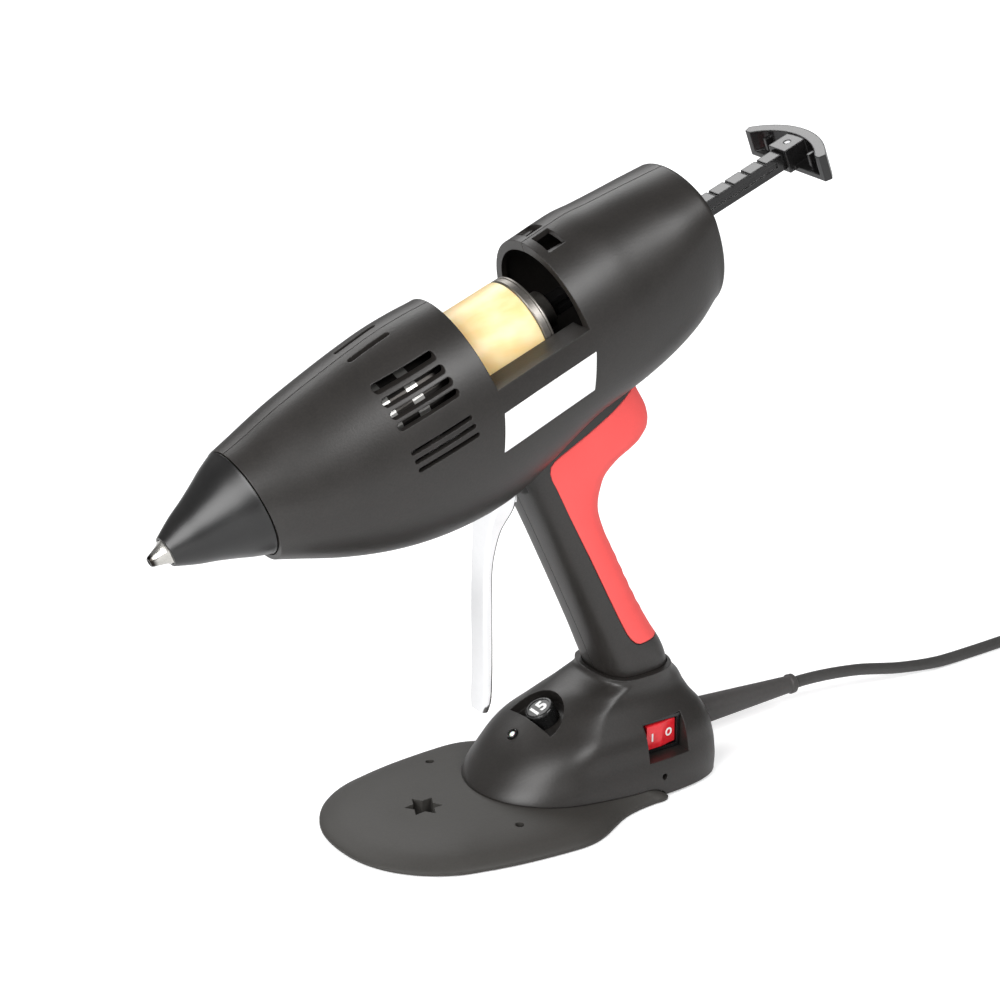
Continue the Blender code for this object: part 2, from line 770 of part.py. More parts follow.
bay_cut = prism("bay_cut", bay_outline(0.0), -BAY_AHEAD, BAY_BEHIND, None, gun, "X")
bay_block = prism(
    "bay_block", bay_outline(SHELL_WALL), -BAY_AHEAD - SHELL_WALL, BAY_BEHIND + SHELL_WALL, None, gun, "X"
)
trough_block = turned(
    "trough_block",
    (
        (-BAY_AHEAD - SHELL_WALL, BORE_RADIUS + SHELL_WALL),
        (BAY_BEHIND + SHELL_WALL, BORE_RADIUS + SHELL_WALL),
    ),
    None,
    gun,
)
trough_cut = turned(
    "trough_cut", ((-BAY_AHEAD - GAP, BORE_RADIUS), (BAY_BEHIND + GAP, BORE_RADIUS)), None, gun
)
sleeve_radius = CHAMBER_RADIUS
sleeve_seat = turned(
    "sleeve_seat",
    ((-BAY_AHEAD - SHELL_WALL - CUT_OVERRUN, sleeve_radius + GAP), (-BAY_AHEAD + GAP, sleeve_radius + GAP)),
    None,
    gun,
)
rear_mouth = turned(
    "rear_mouth",
    (
        (BAY_BEHIND - GAP, BODY_RADIUS - REAR_RIM_WIDTH),
        (BAY_BEHIND + SHELL_WALL + CUT_OVERRUN, BODY_RADIUS - REAR_RIM_WIDTH),
    ),
    None,
    gun,
)

screw_places = []
for along, high in BARREL_SCREW_SHARES:
    ahead = along * (FRONT_REACH if along > 0.0 else REAR_REACH)
    height = high * BODY_RADIUS
    screw_places.append((ahead, height, half_width_at(ahead, height)))
for rise, behind in HANDLE_SCREW_SHARES:
    level = handle_level(rise)
    ahead, height = stand_to_gun(handle_centre(level) + behind * HANDLE_DEPTH, level)
    screw_places.append((ahead, height, HANDLE_HALF_WIDTH - GRIP_THICKNESS - GAP))
screw_pillars = []
for i, (ahead, height, surface) in enumerate(screw_places):
    wide = BODY_RADIUS * 2
    screw_pillars.append(
        turned(
            f"screw_pillar_{i}", ((-wide, BOSS_RADIUS), (wide, BOSS_RADIUS)), None, gun,
            along_barrel(ahead, 0.0, height), "Y", SMALL_STEPS,
        )
    )
hollow = join(body_hollow, handle_hollow)
cut(hollow, bay_block, trough_block, *screw_pillars)
hollow = settled(hollow, "hollow", charcoal)

# Trigger slot in the body's underside, a little wider than the blade.
pivot = gun_to_stand(TRIGGER_AHEAD, 0.0, -TRIGGER_DROP)
slot_half_width = TRIGGER_HALF_WIDTH + SLIDING_GAP
trigger_slot = box(
    "trigger_slot",
    (pivot.x - TRIGGER_REACH - TRIGGER_BOSS_RADIUS, -slot_half_width, pivot.z - SLOT_BELOW),
    (pivot.x + SLOT_REAR, slot_half_width, pivot.z + SLOT_ABOVE),
    None,
    stand,
)
rod_hole = box(
    "rod_hole",
    (REAR_REACH - REAR_FACE_RADIUS / 2, -ROD_HALF_WIDTH - SLIDING_GAP, -ROD_HALF_HEIGHT - SLIDING_GAP),
    (REAR_REACH + CUT_OVERRUN, ROD_HALF_WIDTH + SLIDING_GAP, ROD_HALF_HEIGHT + SLIDING_GAP),
    None,
    gun,
)

vent_cuts = []
vent_far = BODY_RADIUS + CUT_OVERRUN
vent_near = CHAMBER_RADIUS / 2
for i, (share, wide_one) in enumerate(VENT_SHARES):
    half = (WIDE_VENT if wide_one else THIN_VENT) / 2
    height = share * BODY_RADIUS
    outline = rounded(
        (
            (-VENT_AHEAD, height - half),
            (-VENT_AHEAD + VENT_LENGTH, height - half),
            (-VENT_AHEAD + VENT_LENGTH, height + half),
            (-VENT_AHEAD, height + half),
        ),
        half,
        2,
    )
    for side in (-1, 1):
        low, high = sorted((side * vent_near, side * vent_far))
        vent_cuts.append(prism(f"vent_{i}_{side + 1}", outline, low, high, None, gun))

crest_cuts = []
for side in (-1, 1):
    half = CREST_SLOT_WIDTH / 2
    outline = rounded(
        (
            (-CREST_SLOT_AHEAD, side * CREST_SLOT_SIDE - half),
            (-CREST_SLOT_AHEAD + CREST_SLOT_LENGTH, side * CREST_SLOT_SIDE - half),
            (-CREST_SLOT_AHEAD + CREST_SLOT_LENGTH, side * CREST_SLOT_SIDE + half),
            (-CREST_SLOT_AHEAD, side * CREST_SLOT_SIDE + half),
        ),
        half,
        2,
    )
    crest_cuts.append(
        prism(f"crest_slot_{side + 1}", outline, CHAMBER_RADIUS, BODY_RADIUS + CUT_OVERRUN, None, gun, "Z")
    )

hanger_cuts = []
for side in (-1, 1):
    low, high = sorted((side * HANGER_WEB / 2, side * (HANGER_WEB / 2 + HANGER_WIDTH)))
    hanger_cuts.append(
        box(
            f"hanger_{side + 1}",
            (-HANGER_AHEAD, low, BODY_RADIUS * body_row(HANGER_AHEAD)[2] - HANGER_DEPTH - HANGER_WIDTH / 4),
            (-HANGER_AHEAD + HANGER_LENGTH, high, BODY_RADIUS + CUT_OVERRUN),
            None,
            gun,
        )
    )

whole = settled(join(body_outer, handle_front, handle_core), "whole", charcoal)
openings = [hollow, bay_cut, trough_cut, sleeve_seat, rear_mouth, trigger_slot, rod_hole]
cut(whole, *openings, *vent_cuts, *crest_cuts, *hanger_cuts, solver="MANIFOLD")
whole = settled(whole, "whole_cut", charcoal)

split_room = BODY_RADIUS * 8
left_rest = box(
    "left_rest", (-split_room, -GAP / 2, -split_room), (split_room, split_room, split_room), None, gun
)
right_rest = box(
    "right_rest", (-split_room, -split_room, -split_room), (split_room, GAP / 2, split_room), None, gun
)

# Screws across the halves: heads sunk in the right shell, ends in the left one.
screw_cuts = []
for i, (ahead, height, surface) in enumerate(screw_places):
    seat = surface - SCREW_HEAD_HEIGHT * 2
    tip = -surface + SHELL_WALL * 2
    place = along_barrel(ahead, 0.0, height)
    screw_cuts.append(
        turned(
            f"screw_bore_{i}",
            (
                (tip - GAP, SCREW_RADIUS + GAP),
                (seat, SCREW_RADIUS + GAP),
                (seat, SCREW_HEAD_RADIUS + GAP),
                (split_room, SCREW_HEAD_RADIUS + GAP),
            ),
            None,
            gun,
            place,
            "Y",
            SMALL_STEPS,
        )
    )
    turned(
        f"shell_screw_{i + 1}",
        (
            (tip, SCREW_RADIUS),
            (seat + GAP, SCREW_RADIUS),
            (seat + GAP, SCREW_HEAD_RADIUS),
            (seat + GAP + SCREW_HEAD_HEIGHT, SCREW_HEAD_RADIUS),
        ),
        bare_steel,
        gun,
        place,
        "Y",
        SMALL_STEPS,
    )

left_shell = settled(whole, "left_shell", charcoal)
cut(left_shell, left_rest, *screw_cuts, solver="MANIFOLD")
right_shell = settled(whole, "right_shell", charcoal)
cut(right_shell, right_rest, *screw_cuts, solver="MANIFOLD")

# Red grip: the handle's skin behind its edge, thinned to a U round the core.
grip_skin = loft("grip_skin", handle_rings(0.0), None, stand)
grip_shape = [
    (
        handle_centre(handle_level(high)) + aside * HANDLE_DEPTH + GAP,
        handle_level(high) - (GAP if high > 0.5 else -GAP),
    )
    for aside, high in GRIP_EDGE_SHARES
]
grip_room = prism("grip_room", grip_shape, -HANDLE_DEPTH, HANDLE_DEPTH, None, stand)
grip_core = loft("grip_core", handle_rings(GRIP_THICKNESS), None, stand)
body_clear = loft("body_clear", body_rings(-GAP), None, gun)
combine(grip_skin, "INTERSECT", grip_room)
cut(grip_skin, grip_core, body_clear)
settled(grip_skin, "grip_pad", red_rubber)

# Label: a thin plate bent to the body's left side, its ends upright in the stand's frame.
LABEL_ACROSS = 9
LABEL_DOWN = 4


def label_sheet(clear):
    rows = []
    for j in range(LABEL_DOWN + 1):
        down = LABEL_HEIGHT * j / LABEL_DOWN
        row = []
        for i in range(LABEL_ACROSS + 1):
            ahead = LABEL_AHEAD + down * math.sin(TILT) - LABEL_LENGTH * i / LABEL_ACROSS
            height = -LABEL_DROP - down * math.cos(TILT)
            row.append(along_barrel(ahead, -half_width_at(ahead, height) - clear, height))
        rows.append(row)
    return rows


def plate_of(name, inner, outer, material, parent):
    """Closed thin plate between two grids of points."""
    bm = bmesh.new()
    low = [[bm.verts.new(point) for point in row] for row in inner]
    high = [[bm.verts.new(point) for point in row] for row in outer]
    down = len(low) - 1
    across = len(low[0]) - 1
    for grid in (low, high):
        for j in range(down):
            for i in range(across):
                bm.faces.new((grid[j][i], grid[j][i + 1], grid[j + 1][i + 1], grid[j + 1][i]))
    for i in range(across):
        for j in (0, down):
            bm.faces.new((low[j][i], low[j][i + 1], high[j][i + 1], high[j][i]))
    for j in range(down):
        for i in (0, across):
            bm.faces.new((low[j][i], low[j + 1][i], high[j + 1][i], high[j][i]))
    return add(name, bm, material, parent)


plate_of("label_plate", label_sheet(GAP), label_sheet(GAP + LABEL_THICKNESS), white_label, gun)

# Nose cone with its spigot inside the barrel's front end.
nose_back = -FRONT_REACH - GAP
nose_outer = [
    (nose_back - NOSE_LENGTH * along, NOSE_ROOT_RADIUS - (NOSE_ROOT_RADIUS - NOSE_MOUTH_RADIUS) * drop)
    for along, drop in NOSE_SHARES
]
nose_inner = [
    (x, max(radius - NOSE_WALL, NOZZLE_HEX_RADIUS + GAP)) for x, radius in nose_outer[2::2]
]
spigot_radius = BODY_RADIUS * BODY_SHARES[0][2] - SHELL_WALL - GAP * 2
spigot_inner = spigot_radius - NOSE_WALL
nose_profile = (
    [
        (nose_back + NOSE_SPIGOT, spigot_inner),
        (nose_back + NOSE_SPIGOT, spigot_radius),
        (nose_back, spigot_radius),
    ]
    + nose_outer
    + nose_inner[::-1]
    + [(nose_back, spigot_inner)]
)
turned("nose_cone", nose_profile, nose_black, gun, hollow=True)

# Nozzle: a cone ahead of a hexagon that sits in the nose's mouth, its thread in the chamber's outlet.
hex_back = -nose_front + GAP
nozzle_cone_root = min(NOZZLE_HEX_RADIUS, NOSE_MOUTH_RADIUS)
nozzle = turned(
    "nozzle",
    (
        (-nozzle_front, NOZZLE_TIP_RADIUS),
        (-nose_front - NOZZLE_REACH * 0.1, nozzle_cone_root * 0.92),
        (hex_back, nozzle_cone_root),
        (hex_back + NOZZLE_HEX_LENGTH, NOZZLE_HEX_RADIUS),
        (hex_back + NOZZLE_HEX_LENGTH, NOZZLE_THREAD_RADIUS),
        (hex_back + NOZZLE_HEX_LENGTH + NOZZLE_THREAD_LENGTH, NOZZLE_THREAD_RADIUS),
        (hex_back + NOZZLE_HEX_LENGTH + NOZZLE_THREAD_LENGTH, NOZZLE_BORE_RADIUS),
        (-nozzle_front, NOZZLE_BORE_RADIUS),
    ),
    bare_steel,
    gun,
    steps=SMALL_STEPS,
    hollow=True,
)

# Melt chamber: a straight bore for the slug, then a funnel to the nozzle's thread.
chamber_back = -BAY_AHEAD - SHELL_WALL - GAP
chamber_front = hex_back + NOZZLE_HEX_LENGTH + GAP
chamber_length = chamber_back - chamber_front
chamber_outer = [
    (chamber_back - chamber_length * along, CHAMBER_RADIUS * share) for along, share in CHAMBER_SHARES
]
thread_room = NOZZLE_THREAD_LENGTH + GAP
chamber_profile = chamber_outer + [
    (chamber_front, NOZZLE_THREAD_RADIUS + GAP),
    (chamber_front + thread_room, NOZZLE_THREAD_RADIUS + GAP),
    (chamber_front + thread_room, NOZZLE_BORE_RADIUS * 2),
    (chamber_back - chamber_length * 0.80, NOZZLE_BORE_RADIUS * 2),
    (chamber_back - chamber_length * 0.44, BORE_RADIUS),
    (chamber_back, BORE_RADIUS),
]
chamber = turned("chamber_core", chamber_profile, cast_alloy, gun, hollow=True)
ribs = []
for side in (-1, 1):
    for i in range(RIBS_A_SIDE):
        turn = RIB_FIRST_TURN + RIB_STEP_TURN * i
        outward = Vector((side * math.cos(turn), math.sin(turn)))
        across = Vector((-outward.y, outward.x)) * (RIB_THICKNESS / 2)
        root = outward * (BORE_RADIUS + CHAMBER_WALL / 2)
        edge = outward * (CHAMBER_RADIUS + RIB_HEIGHT)
        outline = [tuple(p) for p in (root - across, edge - across, edge + across, root + across)]
        ribs.append(
            prism(f"rib_{side + 1}_{i}", outline, -VENT_AHEAD, -VENT_AHEAD + VENT_LENGTH, None, gun, "X")
        )
saddle_low = -CHAMBER_RADIUS - SADDLE_DROP
saddle = box(
    "saddle",
    (-saddle_ahead, -SADDLE_HALF_WIDTH, saddle_low),
    (-saddle_ahead + saddle_length, SADDLE_HALF_WIDTH, -BORE_RADIUS - CHAMBER_WALL / 2),
    None,
    gun,
)
heater_height = (saddle_low - CHAMBER_RADIUS) / 2
heater_back = -saddle_ahead + saddle_length + (heater_length - saddle_length) / 2
heater_seats = []
for name, side in (("heater_left", -1), ("heater_right", 1)):
    centre = (0.0, side * HEATER_SIDE, heater_height)
    profile = ((heater_back - heater_length, HEATER_RADIUS), (heater_back, HEATER_RADIUS))
    turned(name, profile, ceramic_white, gun, centre, steps=SMALL_STEPS)
    seat = (
        (-saddle_ahead - CUT_OVERRUN, HEATER_RADIUS + GAP),
        (-saddle_ahead + saddle_length + CUT_OVERRUN, HEATER_RADIUS + GAP),
    )
    heater_seats.append(turned(f"{name}_seat", seat, None, gun, centre, steps=SMALL_STEPS))
join(chamber, saddle, *ribs, solver="MANIFOLD")
cut(chamber, *heater_seats, solver="MANIFOLD")
settled(chamber, "melt_chamber", cast_alloy)


def chamber_radius_at(ahead):
    share = (ahead + chamber_back) / chamber_length
    return CHAMBER_RADIUS * lerp_rows(CHAMBER_SHARES, share)[1]


def bulkhead(name, ahead, thickness, material):
    """Plate that fills the body's section, a fit inside the shells."""
    inset = SHELL_WALL + GAP
    near = section(body_row(ahead, INSIDE_SHARES), inset, ahead=ahead, points=INSIDE_POINTS)
    far_row = body_row(ahead - thickness, INSIDE_SHARES)
    far = section(far_row, inset, ahead=ahead - thickness, points=INSIDE_POINTS)
    nearer = [
        (min(a.y, b.y) if a.y > 0 else max(a.y, b.y), min(a.z, b.z) if a.z > 0 else max(a.z, b.z))
        for a, b in zip(near, far)
    ]
    rings = [[Vector((-at, y, z)) for y, z in nearer] for at in (ahead, ahead - thickness)]
    return loft(name, rings, material, gun)


support = bulkhead("front_support", support_ahead, SUPPORT_THICKNESS, bare_steel)
support_bore = turned(
    "support_bore",
    (
        (-support_ahead - CUT_OVERRUN, chamber_radius_at(support_ahead - SUPPORT_THICKNESS) + GAP),
        (
            -support_ahead + SUPPORT_THICKNESS + CUT_OVERRUN,
            chamber_radius_at(support_ahead - SUPPORT_THICKNESS) + GAP,
        ),
    ),
    None,
    gun,
)
cut(support, support_bore)

turned(
    "inlet_sleeve",
    (
        (-BAY_AHEAD - SHELL_WALL, BORE_RADIUS),
        (-BAY_AHEAD - SHELL_WALL, sleeve_radius),
        (-BAY_AHEAD, sleeve_radius),
        (-BAY_AHEAD, BORE_RADIUS),
    ),
    ceramic_white,
    gun,
    hollow=True,
)

# Slug and plunger.
turned("glue_slug", ((-SLUG_LENGTH, SLUG_RADIUS), (0.0, SLUG_RADIUS)), amber_glue, gun)
piston_radius = BORE_RADIUS - PISTON_CLEARANCE
piston_back = GAP + PISTON_THICKNESS
hub_back = piston_back + PISTON_HUB_LENGTH
piston = turned(
    "piston",
    (
        (GAP, piston_radius),
        (piston_back, piston_radius),
        (piston_back, PISTON_HUB_RADIUS),
        (hub_back, PISTON_HUB_RADIUS),
    ),
    piston_alloy,
    gun,
)
rod_front = hub_back - ROD_SOCKET_DEPTH
cut(
    piston,
    box(
        "piston_socket",
        (rod_front, -ROD_HALF_WIDTH - GAP, -ROD_HALF_HEIGHT - GAP),
        (hub_back + CUT_OVERRUN, ROD_HALF_WIDTH + GAP, ROD_HALF_HEIGHT + GAP),
        None,
        gun,
    ),
)

pull_front = -PULL_AHEAD
rod_back = pull_front + ROD_SOCKET_DEPTH
rod_start = rod_front + GAP
rod_outline = [(rod_start, -ROD_HALF_HEIGHT), (rod_back, -ROD_HALF_HEIGHT), (rod_back, ROD_HALF_HEIGHT)]
notch_room = pull_front - PULL_HUB_LEAD - NOTCH_PITCH
notch_count = int((notch_room - hub_back) / NOTCH_PITCH)
for i in range(notch_count):
    x = notch_room - i * NOTCH_PITCH
    rod_outline += [
        (x, ROD_HALF_HEIGHT),
        (x - NOTCH_WIDTH / 4, ROD_HALF_HEIGHT - NOTCH_DEPTH),
        (x - NOTCH_WIDTH, ROD_HALF_HEIGHT),
    ]
rod_outline.append((rod_start, ROD_HALF_HEIGHT))
rod = prism("plunger_rod", rod_outline, -ROD_HALF_WIDTH, ROD_HALF_WIDTH, gloss_black, gun)
grooves = []
for side in (-1, 1):
    low, high = sorted((side * (ROD_HALF_WIDTH - GROOVE_DEPTH), side * (ROD_HALF_WIDTH + CUT_OVERRUN)))
    grooves.append(
        box(
            f"rod_groove_{side + 1}",
            (hub_back + CUT_OVERRUN, low, -GROOVE_HEIGHT / 2),
            (pull_front - PULL_HUB_LEAD - CUT_OVERRUN, high, GROOVE_HEIGHT / 2),
            None,
            gun,
        )
    )
pin_x = pull_front + ROD_SOCKET_DEPTH / 2
pin_low = -PULL_HALF_HEIGHT + PULL_FLOOR / 3
pin_high = PULL_HALF_HEIGHT - PULL_FLOOR / 3
pin_bore = turned(
    "pull_pin_bore",
    ((pin_low - GAP, PULL_PIN_RADIUS + GAP), (PULL_HALF_HEIGHT + CUT_OVERRUN, PULL_PIN_RADIUS + GAP)),
    None,
    gun,
    (pin_x, 0.0, 0.0),
    "Z",
    SMALL_STEPS,
)
cut(rod, *grooves, pin_bore)
turned(
    "pull_pin", ((pin_low, PULL_PIN_RADIUS), (pin_high, PULL_PIN_RADIUS)), bare_steel, gun,
    (pin_x, 0.0, 0.0), "Z", SMALL_STEPS,
)

# Pull handle: a half moon with an arc wall, a floor, a hub for the rod and two ribs.
pull_apex = pull_front + PULL_DEPTH
arc_rise = PULL_DEPTH - PULL_SHOULDER
arc_radius = (PULL_HALF_WIDTH**2 + arc_rise**2) / (2 * arc_rise)
arc_centre = pull_apex - arc_radius


def arc_points(radius, start_x, steps):
    """Points of the handle's arc from one side to the other, cut off at a place along the barrel."""
    limit = math.acos((start_x - arc_centre) / radius)
    made = []
    for k in range(steps + 1):
        angle = limit - 2 * limit * k / steps
        made.append((arc_centre + radius * math.cos(angle), radius * math.sin(angle)))
    return made


pull_outline = arc_points(arc_radius, pull_front + PULL_SHOULDER, 20)
pull_outline += [
    (pull_front, -PULL_HALF_WIDTH + PULL_SHOULDER / 3),
    (pull_front, PULL_HALF_WIDTH - PULL_SHOULDER / 3),
]
pull = prism("pull_body", pull_outline, -PULL_HALF_HEIGHT, PULL_HALF_HEIGHT, gloss_black, gun, "Z")
inner_radius = arc_radius - PULL_WALL
pocket_outline = arc_points(inner_radius, pull_front, 16)
pocket_half = pocket_outline[0][1]
pocket_outline += [(pull_front - CUT_OVERRUN, -pocket_half), (pull_front - CUT_OVERRUN, pocket_half)]
pocket = prism(
    "pull_pocket", pocket_outline, -PULL_HALF_HEIGHT + PULL_FLOOR, PULL_HALF_HEIGHT + CUT_OVERRUN,
    None, gun, "Z",
)
cut(pull, pocket)
pull = settled(pull, "pull_shell", gloss_black)
hub_low = -PULL_HALF_HEIGHT + PULL_FLOOR / 4
hub = box(
    "pull_hub",
    (pull_front - PULL_HUB_LEAD, -PULL_HUB_HALF_WIDTH, hub_low),
    (pull_apex - PULL_WALL / 2, PULL_HUB_HALF_WIDTH, PULL_HALF_HEIGHT - PULL_FLOOR / 4),
    None,
    gun,
)
ribs = []
for side in (-1, 1):
    rib_back = arc_centre + math.sqrt(inner_radius**2 - PULL_RIB_SIDE**2) + PULL_WALL / 3
    ribs.append(
        box(
            f"pull_rib_{side + 1}",
            (pull_front + PULL_RIB, side * PULL_RIB_SIDE - PULL_RIB / 2, hub_low),
            (rib_back, side * PULL_RIB_SIDE + PULL_RIB / 2, PULL_HALF_HEIGHT - PULL_FLOOR),
            None,
            gun,
        )
    )
rod_socket = box(
    "rod_socket",
    (pull_front - PULL_HUB_LEAD - CUT_OVERRUN, -ROD_HALF_WIDTH - GAP, -ROD_HALF_HEIGHT - GAP),
    (rod_back + GAP, ROD_HALF_WIDTH + GAP, ROD_HALF_HEIGHT + GAP),
    None,
    gun,
)
join(pull, hub, *ribs)
cut(pull, rod_socket, pin_bore)
settled(pull, "pull_handle", gloss_black)

# Rod guide across the rear housing.
guide = bulkhead("rod_guide", GUIDE_AHEAD, GUIDE_THICKNESS, charcoal)
cut(
    guide,
    box(
        "guide_hole",
        (-GUIDE_AHEAD - CUT_OVERRUN, -ROD_HALF_WIDTH - SLIDING_GAP, -ROD_HALF_HEIGHT - SLIDING_GAP),
        (
            -GUIDE_AHEAD + GUIDE_THICKNESS + CUT_OVERRUN,
            ROD_HALF_WIDTH + SLIDING_GAP,
            ROD_HALF_HEIGHT + SLIDING_GAP,
        ),
        None,
        gun,
    ),
)

# Trigger's arm ends at a pin in the feed carriage's fork; at rest it leans back by half its swing.
arm_tip = along_barrel(
    TRIGGER_AHEAD - TRIGGER_ARM * math.sin(TRIGGER_SWING / 2),
    0.0,
    -TRIGGER_DROP + TRIGGER_ARM * math.cos(TRIGGER_SWING / 2),
)
tip = gun_to_stand(-arm_tip.x, 0.0, arm_tip.z)
arm = tip - pivot

# Feed carriage round the rod, with its bar and fork under the trough.
block_front = -CARRIAGE_AHEAD
block_back = block_front + CARRIAGE_LENGTH
bar_low = arm_tip.z - CARRIAGE_BAR_HEIGHT / 2
bar_high = arm_tip.z + CARRIAGE_BAR_HEIGHT / 2
carriage = box(
    "carriage_block",
    (block_front, -CARRIAGE_HALF_WIDTH, -CARRIAGE_HALF_WIDTH),
    (block_back, CARRIAGE_HALF_WIDTH, CARRIAGE_HEIGHT),
    None,
    gun,
)
upright = box(
    "carriage_upright",
    (block_front + GAP, -CARRIAGE_BAR_HALF_WIDTH, bar_low),
    (block_back - GAP, CARRIAGE_BAR_HALF_WIDTH, -CARRIAGE_HALF_WIDTH / 2 - ROD_HALF_HEIGHT / 2),
    None,
    gun,
)
bar = box(
    "carriage_bar",
    (arm_tip.x, -CARRIAGE_BAR_HALF_WIDTH + GAP, bar_low + GAP),
    (block_front + CARRIAGE_LENGTH / 2, CARRIAGE_BAR_HALF_WIDTH - GAP, bar_high),
    None,
    gun,
)
fork = box(
    "carriage_fork",
    (arm_tip.x - FORK_HALF_LENGTH, -CARRIAGE_BAR_HALF_WIDTH, arm_tip.z - FORK_HALF_HEIGHT),
    (arm_tip.x + FORK_HALF_LENGTH, CARRIAGE_BAR_HALF_WIDTH, arm_tip.z + FORK_HALF_HEIGHT),
    None,
    gun,
)
fork_slot = box(
    "fork_slot",
    (
        arm_tip.x - DRIVE_PIN_RADIUS - SLIDING_GAP,
        -CARRIAGE_HALF_WIDTH,
        arm_tip.z - FORK_HALF_HEIGHT - CUT_OVERRUN,
    ),
    (
        arm_tip.x + DRIVE_PIN_RADIUS + SLIDING_GAP,
        CARRIAGE_HALF_WIDTH,
        arm_tip.z + DRIVE_PIN_RADIUS + SLIDING_GAP * 2,
    ),
    None,
    gun,
)
carriage_hole = box(
    "carriage_hole",
    (block_front - CUT_OVERRUN, -ROD_HALF_WIDTH - SLIDING_GAP, -ROD_HALF_HEIGHT - SLIDING_GAP),
    (block_back + CUT_OVERRUN, ROD_HALF_WIDTH + SLIDING_GAP, ROD_HALF_HEIGHT + SLIDING_GAP),
    None,
    gun,
)
pawl_x = block_back - PAWL_PIN_BEHIND
pawl_z = ROD_HALF_HEIGHT + SLIDING_GAP + PAWL_BOSS_RADIUS + GAP
pawl_slot = box(
    "pawl_slot",
    (block_front - CUT_OVERRUN, -PAWL_HALF_WIDTH - GAP, 0.0),
    (pawl_x + PAWL_BOSS_RADIUS + SLIDING_GAP, PAWL_HALF_WIDTH + GAP, CARRIAGE_HEIGHT + CUT_OVERRUN),
    None,
    gun,
)
pawl_bore = turned(
    "pawl_bore",
    (
        (-CARRIAGE_HALF_WIDTH - CUT_OVERRUN, PAWL_PIN_RADIUS + GAP),
        (CARRIAGE_HALF_WIDTH + CUT_OVERRUN, PAWL_PIN_RADIUS + GAP),
    ),
    None,
    gun,
    (pawl_x, 0.0, pawl_z),
    "Y",
    SMALL_STEPS,
)
join(carriage, upright, bar, fork)
cut(carriage, fork_slot, carriage_hole, pawl_slot, pawl_bore)
settled(carriage, "feed_carriage", piston_alloy)

pawl_origin = (pawl_x, 0.0, pawl_z)
pawl_outline = [
    (pawl_x + PAWL_BOSS_RADIUS * math.cos(turn), pawl_z + PAWL_BOSS_RADIUS * math.sin(turn))
    for turn in [math.radians(-90 + 22.5 * k) for k in range(9)]
]
pawl_outline += [
    (pawl_x - PAWL_REACH * 0.6, pawl_z + PAWL_BOSS_RADIUS * 0.8),
    (pawl_x - PAWL_REACH, ROD_HALF_HEIGHT + GAP + PAWL_BOSS_RADIUS * 0.5),
    (pawl_x - PAWL_REACH * 0.95, ROD_HALF_HEIGHT + GAP),
    (pawl_x - PAWL_REACH * 0.75, ROD_HALF_HEIGHT + GAP),
]
pawl = prism(
    "feed_pawl", pawl_outline, -PAWL_HALF_WIDTH, PAWL_HALF_WIDTH, bare_steel, gun, origin=pawl_origin
)
cut(pawl, pawl_bore)
turned(
    "pawl_pin",
    ((-CARRIAGE_HALF_WIDTH, PAWL_PIN_RADIUS), (CARRIAGE_HALF_WIDTH, PAWL_PIN_RADIUS)),
    bare_steel,
    gun,
    pawl_origin,
    "Y",
    SMALL_STEPS,
)

# Trigger: a channel-shaped blade, two ears with the pivot, and arms up to the drive pin.
trigger_frame = empty("trigger_frame", stand, tuple(pivot))


def blade_ring(down, forward, flange, narrowing):
    front = -TRIGGER_REACH * forward
    back = front + TRIGGER_SHEET + TRIGGER_FLANGE * flange
    half = TRIGGER_HALF_WIDTH * narrowing
    inner = half - TRIGGER_SHEET
    level = -TRIGGER_LENGTH * down
    bend = TRIGGER_SHEET * 1.25
    side = [(back, half), (front + bend, half), (front + bend * 0.3, half - bend * 0.3), (front, half - bend)]
    inside = [
        (front + TRIGGER_SHEET, inner - bend * 0.4),
        (front + TRIGGER_SHEET + bend * 0.15, inner - bend * 0.12),
        (front + TRIGGER_SHEET + bend * 0.5, inner),
        (back, inner),
    ]
    outline = [(x, -y) for x, y in side] + [(x, y) for x, y in side[::-1]] + [(x, y) for x, y in inside[::-1]]
    outline += [(x, -y) for x, y in inside]
    return [(x, y, level) for x, y in outline]


blade = loft("trigger_blade", [blade_ring(*row) for row in BLADE_SHARES], chromed, trigger_frame)
flange_back = -TRIGGER_REACH * BLADE_SHARES[0][1] + TRIGGER_SHEET + TRIGGER_FLANGE
ear_outline = [
    (-TRIGGER_REACH * 0.62, -TRIGGER_LENGTH * 0.11),
    (flange_back - TRIGGER_SHEET, -TRIGGER_LENGTH * 0.11),
    (TRIGGER_BOSS_RADIUS * 0.9, -TRIGGER_BOSS_RADIUS * 0.5),
    (TRIGGER_BOSS_RADIUS, TRIGGER_BOSS_RADIUS * 0.3),
    (arm.x + TRIGGER_TIP_RADIUS, arm.z),
    (arm.x + TRIGGER_TIP_RADIUS * 0.6, arm.z + TRIGGER_TIP_RADIUS * 0.8),
    (arm.x - TRIGGER_TIP_RADIUS * 0.6, arm.z + TRIGGER_TIP_RADIUS * 0.8),
    (arm.x - TRIGGER_TIP_RADIUS, arm.z),
    (-TRIGGER_BOSS_RADIUS, TRIGGER_BOSS_RADIUS * 0.3),
    (-TRIGGER_REACH * 0.62, -TRIGGER_BOSS_RADIUS),
]
ears = []
ear_low = TRIGGER_HALF_WIDTH - TRIGGER_SHEET + GAP / 2
ear_high = TRIGGER_HALF_WIDTH - GAP / 2
for side in (-1, 1):
    low, high = sorted((side * ear_low, side * ear_high))
    ears.append(prism(f"trigger_ear_{side + 1}", ear_outline, low, high, None, trigger_frame))
trigger_bore = turned(
    "trigger_bore",
    ((-TRIGGER_HALF_WIDTH * 2, TRIGGER_PIN_RADIUS + GAP), (TRIGGER_HALF_WIDTH * 2, TRIGGER_PIN_RADIUS + GAP)),
    None,
    trigger_frame,
    axis="Y",
    steps=SMALL_STEPS,
)
